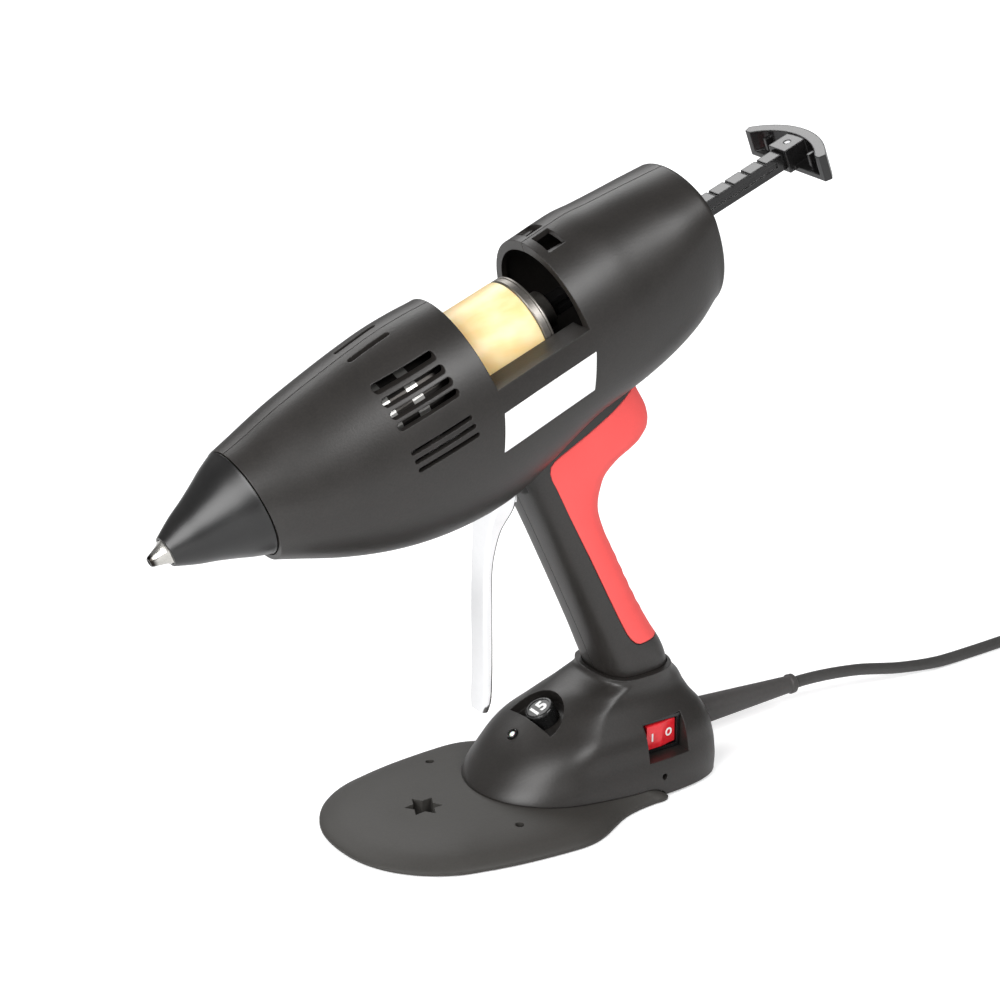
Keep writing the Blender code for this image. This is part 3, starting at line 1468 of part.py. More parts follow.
drive_bore = turned(
    "drive_bore",
    ((-TRIGGER_HALF_WIDTH * 2, DRIVE_PIN_RADIUS + GAP), (TRIGGER_HALF_WIDTH * 2, DRIVE_PIN_RADIUS + GAP)),
    None,
    trigger_frame,
    tuple(arm),
    "Y",
    SMALL_STEPS,
)
join(blade, *ears)
cut(blade, trigger_bore, drive_bore)
settled(blade, "trigger", chromed)
turned(
    "drive_pin",
    ((-TRIGGER_HALF_WIDTH, DRIVE_PIN_RADIUS), (TRIGGER_HALF_WIDTH, DRIVE_PIN_RADIUS)),
    bare_steel,
    trigger_frame,
    tuple(arm),
    "Y",
    SMALL_STEPS,
    origin=(0.0, 0.0, 0.0),
)
axle_low = -TRIGGER_DROP - TRIGGER_PIN_RADIUS
axle_half = half_width_at(TRIGGER_AHEAD, axle_low, SHELL_WALL, INSIDE_SHARES) - GAP
turned(
    "trigger_pin",
    ((-axle_half, TRIGGER_PIN_RADIUS), (axle_half, TRIGGER_PIN_RADIUS)),
    bare_steel,
    trigger_frame,
    axis="Y",
    steps=SMALL_STEPS,
)
turned(
    "trigger_spring",
    (
        (-SPRING_HALF_WIDTH, TRIGGER_PIN_RADIUS + GAP),
        (-SPRING_HALF_WIDTH, SPRING_RADIUS),
        (SPRING_HALF_WIDTH, SPRING_RADIUS),
        (SPRING_HALF_WIDTH, TRIGGER_PIN_RADIUS + GAP),
    ),
    bare_steel,
    trigger_frame,
    axis="Y",
    steps=SMALL_STEPS,
    hollow=True,
)

# Stand plate: a crowned moulding with a star hole, two bench holes and posts for the control board.


def plate_outline(scale, grow=0.0):
    length = PLATE_REAR - PLATE_FRONT
    half = []
    for along, wide in PLATE_OUTLINE_SHARES:
        x = PLATE_CENTRE + (PLATE_FRONT + along * length - PLATE_CENTRE) * scale
        y = wide * PLATE_HALF_WIDTH * scale
        x += grow * (1 if along > 0.99 else -1 if along < 0.01 else 0)
        half.append((x, y + (grow if wide else 0.0)))
    return [(x, y) for x, y in half] + [(x, -y) for x, y in half[:0:-1]]


def plate_rings(grow, low):
    rise = PLATE_HEIGHT - PLATE_LIFT
    rings = []
    for i, (scale, share) in enumerate(PLATE_CROWN_SHARES):
        level = PLATE_LIFT + rise * share + grow if i else low
        rings.append([(x, y, level) for x, y in plate_outline(scale, grow)])
    return rings


plate = loft("plate_body", plate_rings(0.0, PLATE_LIFT), None, stand)
star_outline = []
for k in range(12):
    reach = STAR_RADIUS * (1.0 if k % 2 == 0 else 0.58)
    angle = STAR_TURN + math.tau * k / 12
    star_outline.append((reach * math.cos(angle), reach * math.sin(angle)))
star = prism("star_hole", star_outline, -CUT_OVERRUN, PLATE_HEIGHT + CUT_OVERRUN, None, stand, "Z")
plate_cuts = [star]
plate_through = ((-CUT_OVERRUN, BENCH_HOLE_RADIUS), (PLATE_HEIGHT + CUT_OVERRUN, BENCH_HOLE_RADIUS))
for side in (-1, 1):
    plate_cuts.append(
        turned(
            f"bench_hole_{side + 1}", plate_through, None, stand,
            (BENCH_HOLE_X, side * BENCH_HOLE_SIDE, 0.0), "Z", SMALL_STEPS,
        )
    )
pad_top = PAD_HEIGHT
pad_number = 0
for x, aside in ((PAD_FRONT_X, PAD_FRONT_SIDE), (PAD_REAR_X, PAD_REAR_SIDE)):
    for side in (-1, 1):
        pad_number += 1
        place = (x, side * aside, 0.0)
        turned(
            f"foot_pad_{pad_number}", ((0.0, PAD_RADIUS), (pad_top, PAD_RADIUS)), pad_rubber, stand,
            place, "Z", SMALL_STEPS,
        )
posts = []
for i, (dx, dy) in enumerate(((-1, -1), (-1, 1), (1, -1), (1, 1))):
    place = (BOARD_X + dx * (BOARD_LENGTH / 2 - POST_RADIUS), dy * (BOARD_WIDTH / 2 - POST_RADIUS), 0.0)
    profile = ((PLATE_HEIGHT / 2, POST_RADIUS), (PLATE_HEIGHT + BOARD_STAND_OFF, POST_RADIUS))
    posts.append(turned(f"board_post_{i}", profile, None, stand, place, "Z", 8))
for side in (-1, 1):
    pocket = ((-CUT_OVERRUN, PAD_RADIUS + GAP), (pad_top + GAP, PAD_RADIUS + GAP))
    place = (PAD_FRONT_X, side * PAD_FRONT_SIDE, 0.0)
    plate_cuts.append(turned(f"pad_pocket_{side + 1}", pocket, None, stand, place, "Z", SMALL_STEPS))
join(plate, *posts)
cut(plate, *plate_cuts)
settled(plate, "stand_plate", plate_grey)

# Base housing: a hollow dome over the plate's rear half.


def housing_ring(row, inset, level, points=HOUSING_POINTS):
    share, cut_front, cut_rear, half_width, widest, front_square, rear_square = row
    length = HOUSING_REAR - HOUSING_FRONT
    front = HOUSING_FRONT + cut_front * length + inset
    rear = HOUSING_REAR - cut_rear * length - inset
    middle = HOUSING_FRONT + widest * length
    wide = half_width * HOUSING_HALF_WIDTH - inset
    ring = []
    for k in range(points):
        angle = math.tau * k / points
        c = math.cos(angle)
        s = math.sin(angle)
        square = rear_square if c > 0.0 else front_square
        depth = rear - middle if c > 0.0 else middle - front
        ring.append((middle + depth * signed_power(c, 2 / square), wide * signed_power(s, 2 / square), level))
    return ring


def housing_level(share):
    return HOUSING_BOTTOM + (HOUSING_TOP - HOUSING_BOTTOM) * share


housing_rings = [housing_ring(row, 0.0, housing_level(row[0])) for row in HOUSING_SHARES]
housing = loft("housing_outer", housing_rings, None, stand)
inner_rings = []
for row in HOUSING_SHARES:
    level = housing_level(row[0])
    if row is HOUSING_SHARES[0]:
        level -= CUT_OVERRUN
    if row is HOUSING_SHARES[-1]:
        level -= HOUSING_WALL
        row = lerp_rows(HOUSING_SHARES, (level - HOUSING_BOTTOM) / (HOUSING_TOP - HOUSING_BOTTOM))
    elif level > HOUSING_TOP - HOUSING_WALL * 1.2:
        continue
    inner_rings.append(housing_ring(row, HOUSING_WALL, level, INSIDE_POINTS))
housing_hollow = loft("housing_hollow", inner_rings, None, stand)
dial_frame = empty("dial_frame", stand, (DIAL_X, 0.0, DIAL_Z), (0.0, -DIAL_TILT, 0.0))


def dial_outline(grow):
    """Half moon with a straight front lip; the frame's x climbs rearwards along the pocket's floor."""
    radius = DIAL_POCKET_RADIUS + grow
    centre = DIAL_POCKET_BACK - DIAL_POCKET_RADIUS
    lip = -DIAL_POCKET_LIP - grow
    limit = math.acos((lip - centre) / radius)
    made = []
    for k in range(17):
        angle = limit - 2 * limit * k / 16
        made.append((centre + radius * math.cos(angle), radius * math.sin(angle)))
    return made


dial_pocket = prism(
    "dial_pocket", dial_outline(0.0), -DIAL_POCKET_DEPTH, DIAL_POCKET_DEPTH * 2, None, dial_frame, "Z"
)
dial_block = prism(
    "dial_block", dial_outline(HOUSING_WALL * 0.7), -DIAL_POCKET_DEPTH - HOUSING_WALL * 0.7,
    DIAL_POCKET_DEPTH * 2, None, dial_frame, "Z",
)
shaft_hole = turned(
    "shaft_hole",
    ((-DIAL_POCKET_DEPTH - HOUSING_WALL * 2, DIAL_SHAFT_RADIUS + GAP), (0.0, DIAL_SHAFT_RADIUS + GAP)),
    None,
    dial_frame,
    axis="Z",
    steps=SMALL_STEPS,
)
switch_row = lerp_rows(HOUSING_SHARES, (SWITCH_Z - HOUSING_BOTTOM) / (HOUSING_TOP - HOUSING_BOTTOM))
switch_face = -HOUSING_HALF_WIDTH * switch_row[3] + SWITCH_RECESS
switch_hole = box(
    "switch_hole",
    (SWITCH_X - SWITCH_HALF_LENGTH, -HOUSING_HALF_WIDTH - CUT_OVERRUN, SWITCH_Z - SWITCH_HALF_HEIGHT),
    (SWITCH_X + SWITCH_HALF_LENGTH, switch_face + SWITCH_BODY_DEPTH, SWITCH_Z + SWITCH_HALF_HEIGHT),
    None,
    stand,
)
switch_block = box(
    "switch_block",
    (
        SWITCH_X - SWITCH_HALF_LENGTH - HOUSING_WALL / 2,
        -HOUSING_HALF_WIDTH - CUT_OVERRUN,
        SWITCH_Z - SWITCH_HALF_HEIGHT - HOUSING_WALL / 2,
    ),
    (
        SWITCH_X + SWITCH_HALF_LENGTH + HOUSING_WALL / 2,
        switch_face + SWITCH_RECESS,
        SWITCH_Z + SWITCH_HALF_HEIGHT + HOUSING_WALL / 2,
    ),
    None,
    stand,
)
cut(housing_hollow, dial_block, switch_block)
housing_hollow = settled(housing_hollow, "housing_room", charcoal)
handle_clear = loft("handle_clear", handle_rings(-GAP, CUT_OVERRUN), None, stand)
plate_clear = loft("plate_clear", plate_rings(GAP, -CUT_OVERRUN), None, stand)
relief_inside = HOUSING_REAR - HOUSING_WALL - GAP
relief_hole = turned(
    "relief_hole",
    (
        (relief_inside - HOUSING_WALL * 2, RELIEF_FLANGE_RADIUS + GAP),
        (relief_inside + GAP, RELIEF_FLANGE_RADIUS + GAP),
        (relief_inside + GAP, RELIEF_ROOT_RADIUS + GAP),
        (HOUSING_REAR + CUT_OVERRUN, RELIEF_ROOT_RADIUS + GAP),
    ),
    None,
    stand,
    (0.0, 0.0, CORD_HEIGHT),
    steps=20,
)
lamp_frame = empty("lamp_frame", stand, (LAMP_X, 0.0, LAMP_Z), (0.0, -LAMP_TILT, 0.0))
lamp_hole = turned(
    "lamp_hole",
    ((-LAMP_LENGTH * 2, BEZEL_RADIUS + GAP), (LAMP_LENGTH, BEZEL_RADIUS + GAP)),
    None,
    lamp_frame,
    axis="Z",
    steps=SMALL_STEPS,
)
tongue_hole = turned(
    "tongue_hole",
    (
        (-HOUSING_HALF_WIDTH * 2, TONGUE_HOLE_RADIUS),
        (-HOUSING_HALF_WIDTH + HOUSING_WALL * 2, TONGUE_HOLE_RADIUS),
    ),
    None,
    stand,
    (PLATE_REAR, 0.0, PLATE_HEIGHT + TONGUE_HOLE_RADIUS / 2),
    "Y",
    12,
)
cut(
    housing, lamp_hole, housing_hollow, plate_clear, handle_clear, dial_pocket, shaft_hole, switch_hole,
    relief_hole, tongue_hole,
)
settled(housing, "base_housing", charcoal)

# Bottom cover behind the plate.
cover_front = PLATE_REAR + SLIDING_GAP
cover_ring = [
    (x, y)
    for x, y, level in housing_ring(HOUSING_SHARES[0], HOUSING_WALL + GAP, HOUSING_BOTTOM, INSIDE_POINTS)
    if x > cover_front + SLIDING_GAP
]
upper_side = sorted([p for p in cover_ring if p[1] > 0], key=lambda p: -p[0])
lower_side = sorted([p for p in cover_ring if p[1] < 0], key=lambda p: p[0])
level_side = [p for p in cover_ring if p[1] == 0]
cover_nose = [(cover_front, upper_side[-1][1]), (cover_front, lower_side[0][1])]
cover_outline = level_side + upper_side + cover_nose + lower_side
cover = prism(
    "base_cover", cover_outline, HOUSING_BOTTOM, HOUSING_BOTTOM + COVER_THICKNESS, charcoal, stand, "Z"
)
for side in (-1, 1):
    pocket = ((-CUT_OVERRUN, PAD_RADIUS + GAP), (pad_top + GAP, PAD_RADIUS + GAP))
    place = (PAD_REAR_X, side * PAD_REAR_SIDE, 0.0)
    cut(cover, turned(f"cover_pocket_{side + 1}", pocket, None, stand, place, "Z", SMALL_STEPS))

board_low = PLATE_HEIGHT + BOARD_STAND_OFF + GAP
box(
    "control_board",
    (BOARD_X - BOARD_LENGTH / 2, -BOARD_WIDTH / 2, board_low),
    (BOARD_X + BOARD_LENGTH / 2, BOARD_WIDTH / 2, board_low + BOARD_THICKNESS),
    board_green,
    stand,
)

# Dial knob over the potentiometer's shaft.
knob_low = -DIAL_POCKET_DEPTH + GAP
shaft_top = knob_low + DIAL_POCKET_DEPTH * 0.6
knob = turned(
    "knob_body",
    (
        (knob_low, DIAL_RADIUS),
        (-DIAL_RADIUS * 0.15, DIAL_RADIUS * 0.96),
        (0.0, DIAL_RADIUS * 0.82),
    ),
    gloss_black,
    dial_frame,
    axis="Z",
    steps=24,
)
knob_bore = turned(
    "knob_bore",
    ((knob_low - CUT_OVERRUN, DIAL_SHAFT_RADIUS + GAP), (shaft_top + GAP, DIAL_SHAFT_RADIUS + GAP)),
    None,
    dial_frame,
    axis="Z",
    steps=SMALL_STEPS,
)
cut(knob, knob_bore)
settled(knob, "dial_knob", gloss_black)
pot_top = -DIAL_POCKET_DEPTH - HOUSING_WALL * 0.7 - GAP
turned(
    "potentiometer",
    (
        (pot_top - POT_HEIGHT, POT_HALF_WIDTH),
        (pot_top, POT_HALF_WIDTH),
        (pot_top, DIAL_SHAFT_RADIUS),
        (shaft_top, DIAL_SHAFT_RADIUS),
    ),
    bare_steel,
    dial_frame,
    axis="Z",
    steps=SMALL_STEPS,
)
turned(
    "lamp_bezel",
    (
        (-LAMP_LENGTH / 2, LAMP_RADIUS + GAP),
        (-LAMP_LENGTH / 2, BEZEL_RADIUS),
        (BEZEL_PROUD / 2, BEZEL_RADIUS),
        (BEZEL_PROUD, (BEZEL_RADIUS + LAMP_RADIUS) / 2),
        (BEZEL_PROUD / 2, LAMP_RADIUS + GAP),
    ),
    gloss_black,
    lamp_frame,
    axis="Z",
    steps=SMALL_STEPS,
    hollow=True,
)
turned(
    "lamp",
    ((-LAMP_LENGTH, LAMP_RADIUS), (BEZEL_PROUD / 4, LAMP_RADIUS), (BEZEL_PROUD, LAMP_RADIUS / 2)),
    lamp_clear,
    lamp_frame,
    axis="Z",
    steps=12,
)

# Rocker switch in its recess; the rocker turns on an upright axis.
switch_body = box(
    "switch_case",
    (SWITCH_X - SWITCH_HALF_LENGTH + GAP, switch_face, SWITCH_Z - SWITCH_HALF_HEIGHT + GAP),
    (
        SWITCH_X + SWITCH_HALF_LENGTH - GAP,
        switch_face + SWITCH_BODY_DEPTH,
        SWITCH_Z + SWITCH_HALF_HEIGHT - GAP,
    ),
    None,
    stand,
)
rocker_depth = ROCKER_PROUD * 3
rocker_y = switch_face + rocker_depth / 2
rocker_well = box(
    "rocker_well",
    (
        SWITCH_X - ROCKER_HALF_LENGTH - SLIDING_GAP,
        switch_face - CUT_OVERRUN,
        SWITCH_Z - ROCKER_HALF_HEIGHT - SLIDING_GAP,
    ),
    (
        SWITCH_X + ROCKER_HALF_LENGTH + SLIDING_GAP,
        rocker_y + rocker_depth + ROCKER_PROUD,
        SWITCH_Z + ROCKER_HALF_HEIGHT + SLIDING_GAP,
    ),
    None,
    stand,
)
cut(switch_body, rocker_well)
settled(switch_body, "switch_body", gloss_black)
rocker_frame = empty("rocker_frame", stand, (SWITCH_X, rocker_y, SWITCH_Z))
rocker_shape = (
    (-ROCKER_HALF_LENGTH, -rocker_depth / 2 - ROCKER_PROUD * 0.2),
    (0.0, -rocker_depth / 2 - ROCKER_PROUD * 0.8),
    (ROCKER_HALF_LENGTH, -rocker_depth / 2 - ROCKER_PROUD * 0.2),
    (ROCKER_HALF_LENGTH * 0.92, rocker_depth / 2),
    (ROCKER_HALF_LENGTH * 0.3, rocker_depth),
    (-ROCKER_HALF_LENGTH * 0.3, rocker_depth),
    (-ROCKER_HALF_LENGTH * 0.92, rocker_depth / 2),
)
c = math.cos(ROCKER_TILT)
s = math.sin(ROCKER_TILT)
rocker_outline = [(x * c - y * s, x * s + y * c) for x, y in rocker_shape]
prism("rocker", rocker_outline, -ROCKER_HALF_HEIGHT, ROCKER_HALF_HEIGHT, rocker_red, rocker_frame, "Z")

# Strain relief, cord, coil and plug.
turned(
    "strain_relief",
    (
        (relief_inside - RELIEF_FLANGE, RELIEF_FLANGE_RADIUS),
        (relief_inside, RELIEF_FLANGE_RADIUS),
        (relief_inside, RELIEF_ROOT_RADIUS),
        (HOUSING_REAR + RELIEF_LENGTH * 0.04, RELIEF_ROOT_RADIUS),
        (HOUSING_REAR + RELIEF_LENGTH * 0.95, RELIEF_END_RADIUS * 1.08),
        (HOUSING_REAR + RELIEF_LENGTH * 0.96, RELIEF_END_RADIUS * 1.25),
        (HOUSING_REAR + RELIEF_LENGTH, RELIEF_END_RADIUS * 1.2),
        (HOUSING_REAR + RELIEF_LENGTH, RELIEF_END_RADIUS * 0.9),
    ),
    cord_rubber,
    stand,
    (0.0, 0.0, CORD_HEIGHT),
    steps=20,
)

# Cord's route from the strain relief to the coil, in the stand's frame, chosen by eye.
CORD_ROUTE = (
    (0.2008, 0.0, 0.0160),
    (0.2070, 0.0, 0.0157),
    (0.2360, 0.0, 0.0134),
    (0.2660, 0.0010, 0.0068),
    (0.2900, 0.0020, 0.0034),
    (0.3100, 0.0030, 0.00285),
    (0.3400, 0.0040, 0.0031),
    (0.3600, 0.0048, 0.0039),
)


def smooth_route(route, spacing):
    """Points along a smooth curve through the route's own points, its first and last runs straight."""
    points = [Vector(p) for p in route]
    made = [points[0]]
    for a, b, c, d in zip(points, points[1:], points[2:], points[3:]):
        before = (b - a).length
        here = (c - b).length
        after = (d - c).length
        leaving = ((b - a) / before - (c - a) / (before + here) + (c - b) / here) * here
        arriving = ((c - b) / here - (d - b) / (here + after) + (d - c) / after) * here
        steps = max(round(here / spacing), 1)
        for k in range(steps):
            t = k / steps
            start = b * (2 * t**3 - 3 * t**2 + 1) + leaving * (t**3 - 2 * t**2 + t)
            end = c * (3 * t**2 - 2 * t**3) + arriving * (t**3 - t**2)
            made.append(start + end)
    made += points[-2:]
    return made


def tube(name, points, radius, resolution, material, parent):
    curve = bpy.data.curves.new(name, "CURVE")
    curve.dimensions = "3D"
    curve.bevel_depth = radius
    curve.bevel_resolution = resolution
    curve.use_fill_caps = True
    spline = curve.splines.new("POLY")
    spline.points.add(len(points) - 1)
    for spot, point in zip(spline.points, points):
        spot.co = (*point, 1.0)
    spline.use_smooth = True
    curve.materials.append(material)
    made = bpy.data.objects.new(name, curve)
    made.parent = parent
    bpy.context.scene.collection.objects.link(made)
    return made


coil_pitch = 2 * CORD_RADIUS + COIL_TURN_GAP
coil_low = CORD_RADIUS + TIE_THICKNESS + GAP
coil_high = coil_low + 2 * CORD_RADIUS + COIL_LAYER_GAP
turns_in = COIL_TURNS_A_LAYER - 0.25
climb_half = 0.25
coil_outer = COIL_INNER_RADIUS + turns_in * coil_pitch
LOOP_POINTS = 24


def coil_point(turn):
    """Point of the coil after some turns: in on the lower layer, up in a half turn, out on the upper one."""
    radius = COIL_INNER_RADIUS + coil_pitch * abs(turn - turns_in)
    share = min(max((turn - turns_in + climb_half) / (2 * climb_half), 0.0), 1.0)
    level = coil_low + (coil_high - coil_low) * (3 * share**2 - 2 * share**3)
    angle = math.pi / 2 - math.tau * turn
    return Vector((COIL_X + radius * math.cos(angle), COIL_Y + radius * math.sin(angle), level))


coil_turns = 2 * COIL_TURNS_A_LAYER
coil_points = [coil_point(k / LOOP_POINTS) for k in range(coil_turns * LOOP_POINTS + 1)]
run = 2 * CORD_RADIUS
lead_in = [coil_points[0] - Vector((run * 1.6, 0.0, 0.0)), coil_points[0] - Vector((run * 0.6, 0.0, 0.0))]
lead_out = [coil_points[-1] + Vector((run * 0.6, 0.0, 0.0)), coil_points[-1] + Vector((run * 1.6, 0.0, 0.0))]
coil_line = lead_in + coil_points + lead_out
tube("cord_coil", coil_line, CORD_RADIUS, 1, cord_rubber, stand)
least_gap = min(
    (coil_line[i] - coil_line[j]).length - 2 * CORD_RADIUS
    for i in range(len(coil_line))
    for j in range(i + LOOP_POINTS // 2, len(coil_line))
)
print(f"least gap of the coil to itself {least_gap * 1000:.2f} mm")

cord_end = lead_in[0] - Vector((GAP, 0.0, 0.0))
cord_start = Vector((HOUSING_REAR + RELIEF_LENGTH + GAP, 0.0, CORD_HEIGHT))
route = [cord_start, cord_start + Vector((run, 0.0, 0.0))]
route += [Vector(p) for p in CORD_ROUTE if cord_start.x + run * 1.5 < p[0] < cord_end.x - run * 1.5]
route += [cord_end - Vector((run, 0.0, 0.0)), cord_end]
cord_line = smooth_route(route, run * 2)
tube("mains_cord", cord_line, CORD_RADIUS, 2, cord_rubber, stand)

tail_start = lead_out[1] + Vector((GAP, 0.0, 0.0))
tail_end = Vector((PLUG_X - GAP, tail_start.y, PLUG_HEIGHT / 2))
tail_route = [
    tail_start,
    tail_start + Vector((run, 0.0, 0.0)),
    tail_end - Vector((run, 0.0, 0.0)),
    tail_end,
]
tail_line = smooth_route(tail_route, run * 2)
tube("cord_tail", tail_line, CORD_RADIUS, 2, cord_rubber, stand)
lengths = [sum((b - a).length for a, b in zip(line, line[1:])) for line in (cord_line, coil_line, tail_line)]
print(f"cord length {sum(lengths):.3f} m in runs of " + ", ".join(f"{v:.3f}" for v in lengths))

# Tie round all the turns where the coil is widest to the rear.
tie_in = COIL_INNER_RADIUS + coil_pitch / 2 - CORD_RADIUS - TIE_CLEARANCE
tie_out = coil_outer - coil_pitch / 4 + CORD_RADIUS + TIE_CLEARANCE
tie_bottom = coil_low - CORD_RADIUS - GAP
tie_top = coil_high + CORD_RADIUS + TIE_CLEARANCE


def tie_loop(grow):
    outline = (
        (COIL_X + tie_in - grow, tie_bottom - grow),
        (COIL_X + tie_out + grow, tie_bottom - grow),
        (COIL_X + tie_out + grow, tie_top + grow),
        (COIL_X + tie_in - grow, tie_top + grow),
    )
    return rounded(outline, CORD_RADIUS / 3 + grow, 2)


tie_rings = []
for grow, side in ((0.0, -1), (TIE_THICKNESS, -1), (TIE_THICKNESS, 1), (0.0, 1)):
    tie_rings.append([(x, COIL_Y + side * TIE_WIDTH / 2, z) for x, z in tie_loop(grow)])
loft("coil_tie", tie_rings, tie_black, stand, closed=True)

# Plug on its back with its three pins upwards.
plug_y = tail_start.y
plug_outline = rounded(
    (
        (PLUG_X, plug_y - PLUG_WIDTH / 2),
        (PLUG_X + PLUG_LENGTH, plug_y - PLUG_WIDTH / 2),
        (PLUG_X + PLUG_LENGTH, plug_y + PLUG_WIDTH / 2),
        (PLUG_X, plug_y + PLUG_WIDTH / 2),
    ),
    PLUG_CORNER,
    4,
)
plug = prism("plug_block", plug_outline, 0.0, PLUG_HEIGHT, None, stand, "Z")
pins = (
    ("plug_pin_line", PIN_ROW_X, -PIN_SIDE, PIN_WIDTH),
    ("plug_pin_neutral", PIN_ROW_X, PIN_SIDE, PIN_WIDTH),
    ("plug_pin_earth", PIN_ROW_X + EARTH_PIN_AWAY, 0.0, EARTH_PIN_WIDTH),
)
for name, along, aside, width in pins:
    earth = width == EARTH_PIN_WIDTH
    half_x = (width if earth else PIN_THICKNESS) / 2
    half_y = (PIN_THICKNESS if earth else width) / 2
    x = PLUG_X + along
    y = plug_y + aside
    low = PLUG_HEIGHT - PIN_SOCKET
    high = PLUG_HEIGHT + PIN_LENGTH
    box(name, (x - half_x, y - half_y, low), (x + half_x, y + half_y, high), brass_metal, stand)
    cut(
        plug,
        box(
            f"{name}_socket",
            (x - half_x - GAP, y - half_y - GAP, low - GAP),
            (x + half_x + GAP, y + half_y + GAP, PLUG_HEIGHT + CUT_OVERRUN),
            None,
            stand,
        ),
    )
settled(plug, "plug_body", gloss_black)

print(f"stand frame shift {stand.location.x:.6f}")
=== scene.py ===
import math

import bmesh
import bpy
import numpy as np
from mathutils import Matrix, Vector


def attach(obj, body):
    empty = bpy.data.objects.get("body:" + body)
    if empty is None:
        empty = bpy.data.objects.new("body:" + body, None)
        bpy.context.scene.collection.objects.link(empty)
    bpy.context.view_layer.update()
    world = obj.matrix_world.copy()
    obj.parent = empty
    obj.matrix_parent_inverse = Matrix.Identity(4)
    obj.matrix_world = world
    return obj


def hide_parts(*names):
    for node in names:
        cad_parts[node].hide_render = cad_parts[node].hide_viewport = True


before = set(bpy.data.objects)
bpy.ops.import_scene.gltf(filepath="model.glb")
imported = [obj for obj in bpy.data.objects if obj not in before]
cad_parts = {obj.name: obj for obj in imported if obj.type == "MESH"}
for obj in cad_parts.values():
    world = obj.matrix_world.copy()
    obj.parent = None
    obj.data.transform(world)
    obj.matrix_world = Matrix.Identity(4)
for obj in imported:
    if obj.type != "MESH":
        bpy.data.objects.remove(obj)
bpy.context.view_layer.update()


# Camera and studio. A long lens looks down on the gun's left side from a little ahead of it; the gun stands
# on a pale floor in a white room. Soft lamps stand at the left, over the camera and behind.


def linear(code):
    """sRGB hex colour to linear RGBA: a straight part near black, then a power of 2.4."""
    value = np.array([int(code[i : i + 2], 16) for i in (1, 3, 5)]) / 255.0
    value = np.where(value <= 0.04045, value / 12.92, ((value + 0.055) / 1.055) ** 2.4)
    return (*value.tolist(), 1.0)


def feed(tree, node, inputs):
    """Fills a node's inputs: each is a value, or a socket that it is linked to."""
    for name, value in inputs.items():
        if isinstance(value, bpy.types.NodeSocket):
            tree.links.new(value, node.inputs[name])
        else:
            node.inputs[name].default_value = value


def add(tree, kind, inputs=None, **settings):
    """One node with its settings and its inputs."""
    made = tree.nodes.new(kind)
    for name, value in settings.items():
        setattr(made, name, value)
    feed(tree, made, inputs or {})
    return made


def noise(tree, where, scale, detail=2.0):
    made = add(tree, "ShaderNodeTexNoise", {"Vector": where, "Scale": scale, "Detail": detail})
    return made.outputs["Fac"]


def ranged(tree, value, low, high, start=0.0, end=1.0):
    """A value's range from start to end, stretched to one from low to high."""
    limits = {"From Min": start, "From Max": end, "To Min": low, "To Max": high}
    return add(tree, "ShaderNodeMapRange", {"Value": value, **limits}).outputs["Result"]


def bumped(tree, height, strength, distance, under=None):
    """Surface tilted by a height, over another tilt where one is given."""
    inputs = {"Height": height, "Strength": strength, "Distance": distance}
    if under is not None:
        inputs["Normal"] = under
    return add(tree, "ShaderNodeBump", inputs).outputs["Normal"]


def mixed_tones(tree, factor, one, other, blend="MIX"):
    """Two colours, each a value or a socket, mixed by a factor."""
    inputs = {"Factor": factor, "A": one, "B": other}
    return add(tree, "ShaderNodeMix", inputs, data_type="RGBA", blend_type=blend).outputs["Result"]


def shade_ramp(tree, factor, code, darker, paler):
    """Colour ramp between a darker and a paler shade of one colour."""
    made = add(tree, "ShaderNodeValToRGB", {"Fac": factor})
    base = linear(code)[:3]
    made.color_ramp.elements[0].color = (*(v * darker for v in base), 1.0)
    made.color_ramp.elements[1].color = (*(min(v * paler, 1.0) for v in base), 1.0)
    return made


def new_material(name):
    """A new material with its node tree, its surface shader and its Object coordinates."""
    made = bpy.data.materials.new(name)
    made.use_nodes = True
    tree = made.node_tree
    return made, tree, tree.nodes["Principled BSDF"], add(tree, "ShaderNodeTexCoord").outputs["Object"]


CAMERA_TURN = math.radians(-33.30)
CAMERA_RISE = math.radians(21.80)
CAMERA_DISTANCE = 1.3409
camera_aim = Vector((0.002356, 0.0, 0.14198))
camera_back = Vector(
    (
        math.sin(CAMERA_TURN) * math.cos(CAMERA_RISE),
        -math.cos(CAMERA_TURN) * math.cos(CAMERA_RISE),
        math.sin(CAMERA_RISE),
    )
)
lens = bpy.data.cameras.new("studio_camera")
lens.lens = 115.03
lens.sensor_width = 36.0
lens.clip_start = 0.05
lens.clip_end = 30.0
camera = bpy.data.objects.new("studio_camera", lens)
camera.location = camera_aim + camera_back * CAMERA_DISTANCE
camera.rotation_mode = "QUATERNION"
camera.rotation_quaternion = camera_back.to_track_quat("Z", "Y")
bpy.context.scene.collection.objects.link(camera)
bpy.context.scene.camera = camera
bpy.context.scene.view_settings.view_transform = "Standard"

room = bpy.data.worlds.new("white_room")
room.use_nodes = True
tree = room.node_tree
tree.nodes.clear()
path = add(tree, "ShaderNodeLightPath").outputs
either_ray = {0: path["Is Camera Ray"], 1: path["Is Transmission Ray"]}
seen = add(tree, "ShaderNodeMath", either_ray, operation="MAXIMUM").outputs[0]
dim, mirrored, white = (
    add(tree, "ShaderNodeBackground", {"Color": linear(code), "Strength": strength}).outputs[0]
    for code, strength in (("#f2f4f6", 0.30), ("#ffffff", 0.20), ("#ffffff", 1.0))
)
unseen = add(tree, "ShaderNodeMixShader", {0: path["Is Glossy Ray"], 1: dim, 2: mirrored}).outputs[0]
around = add(tree, "ShaderNodeMixShader", {0: seen, 1: unseen, 2: white}).outputs[0]
add(tree, "ShaderNodeOutputWorld", {"Surface": around})
bpy.context.scene.world = room


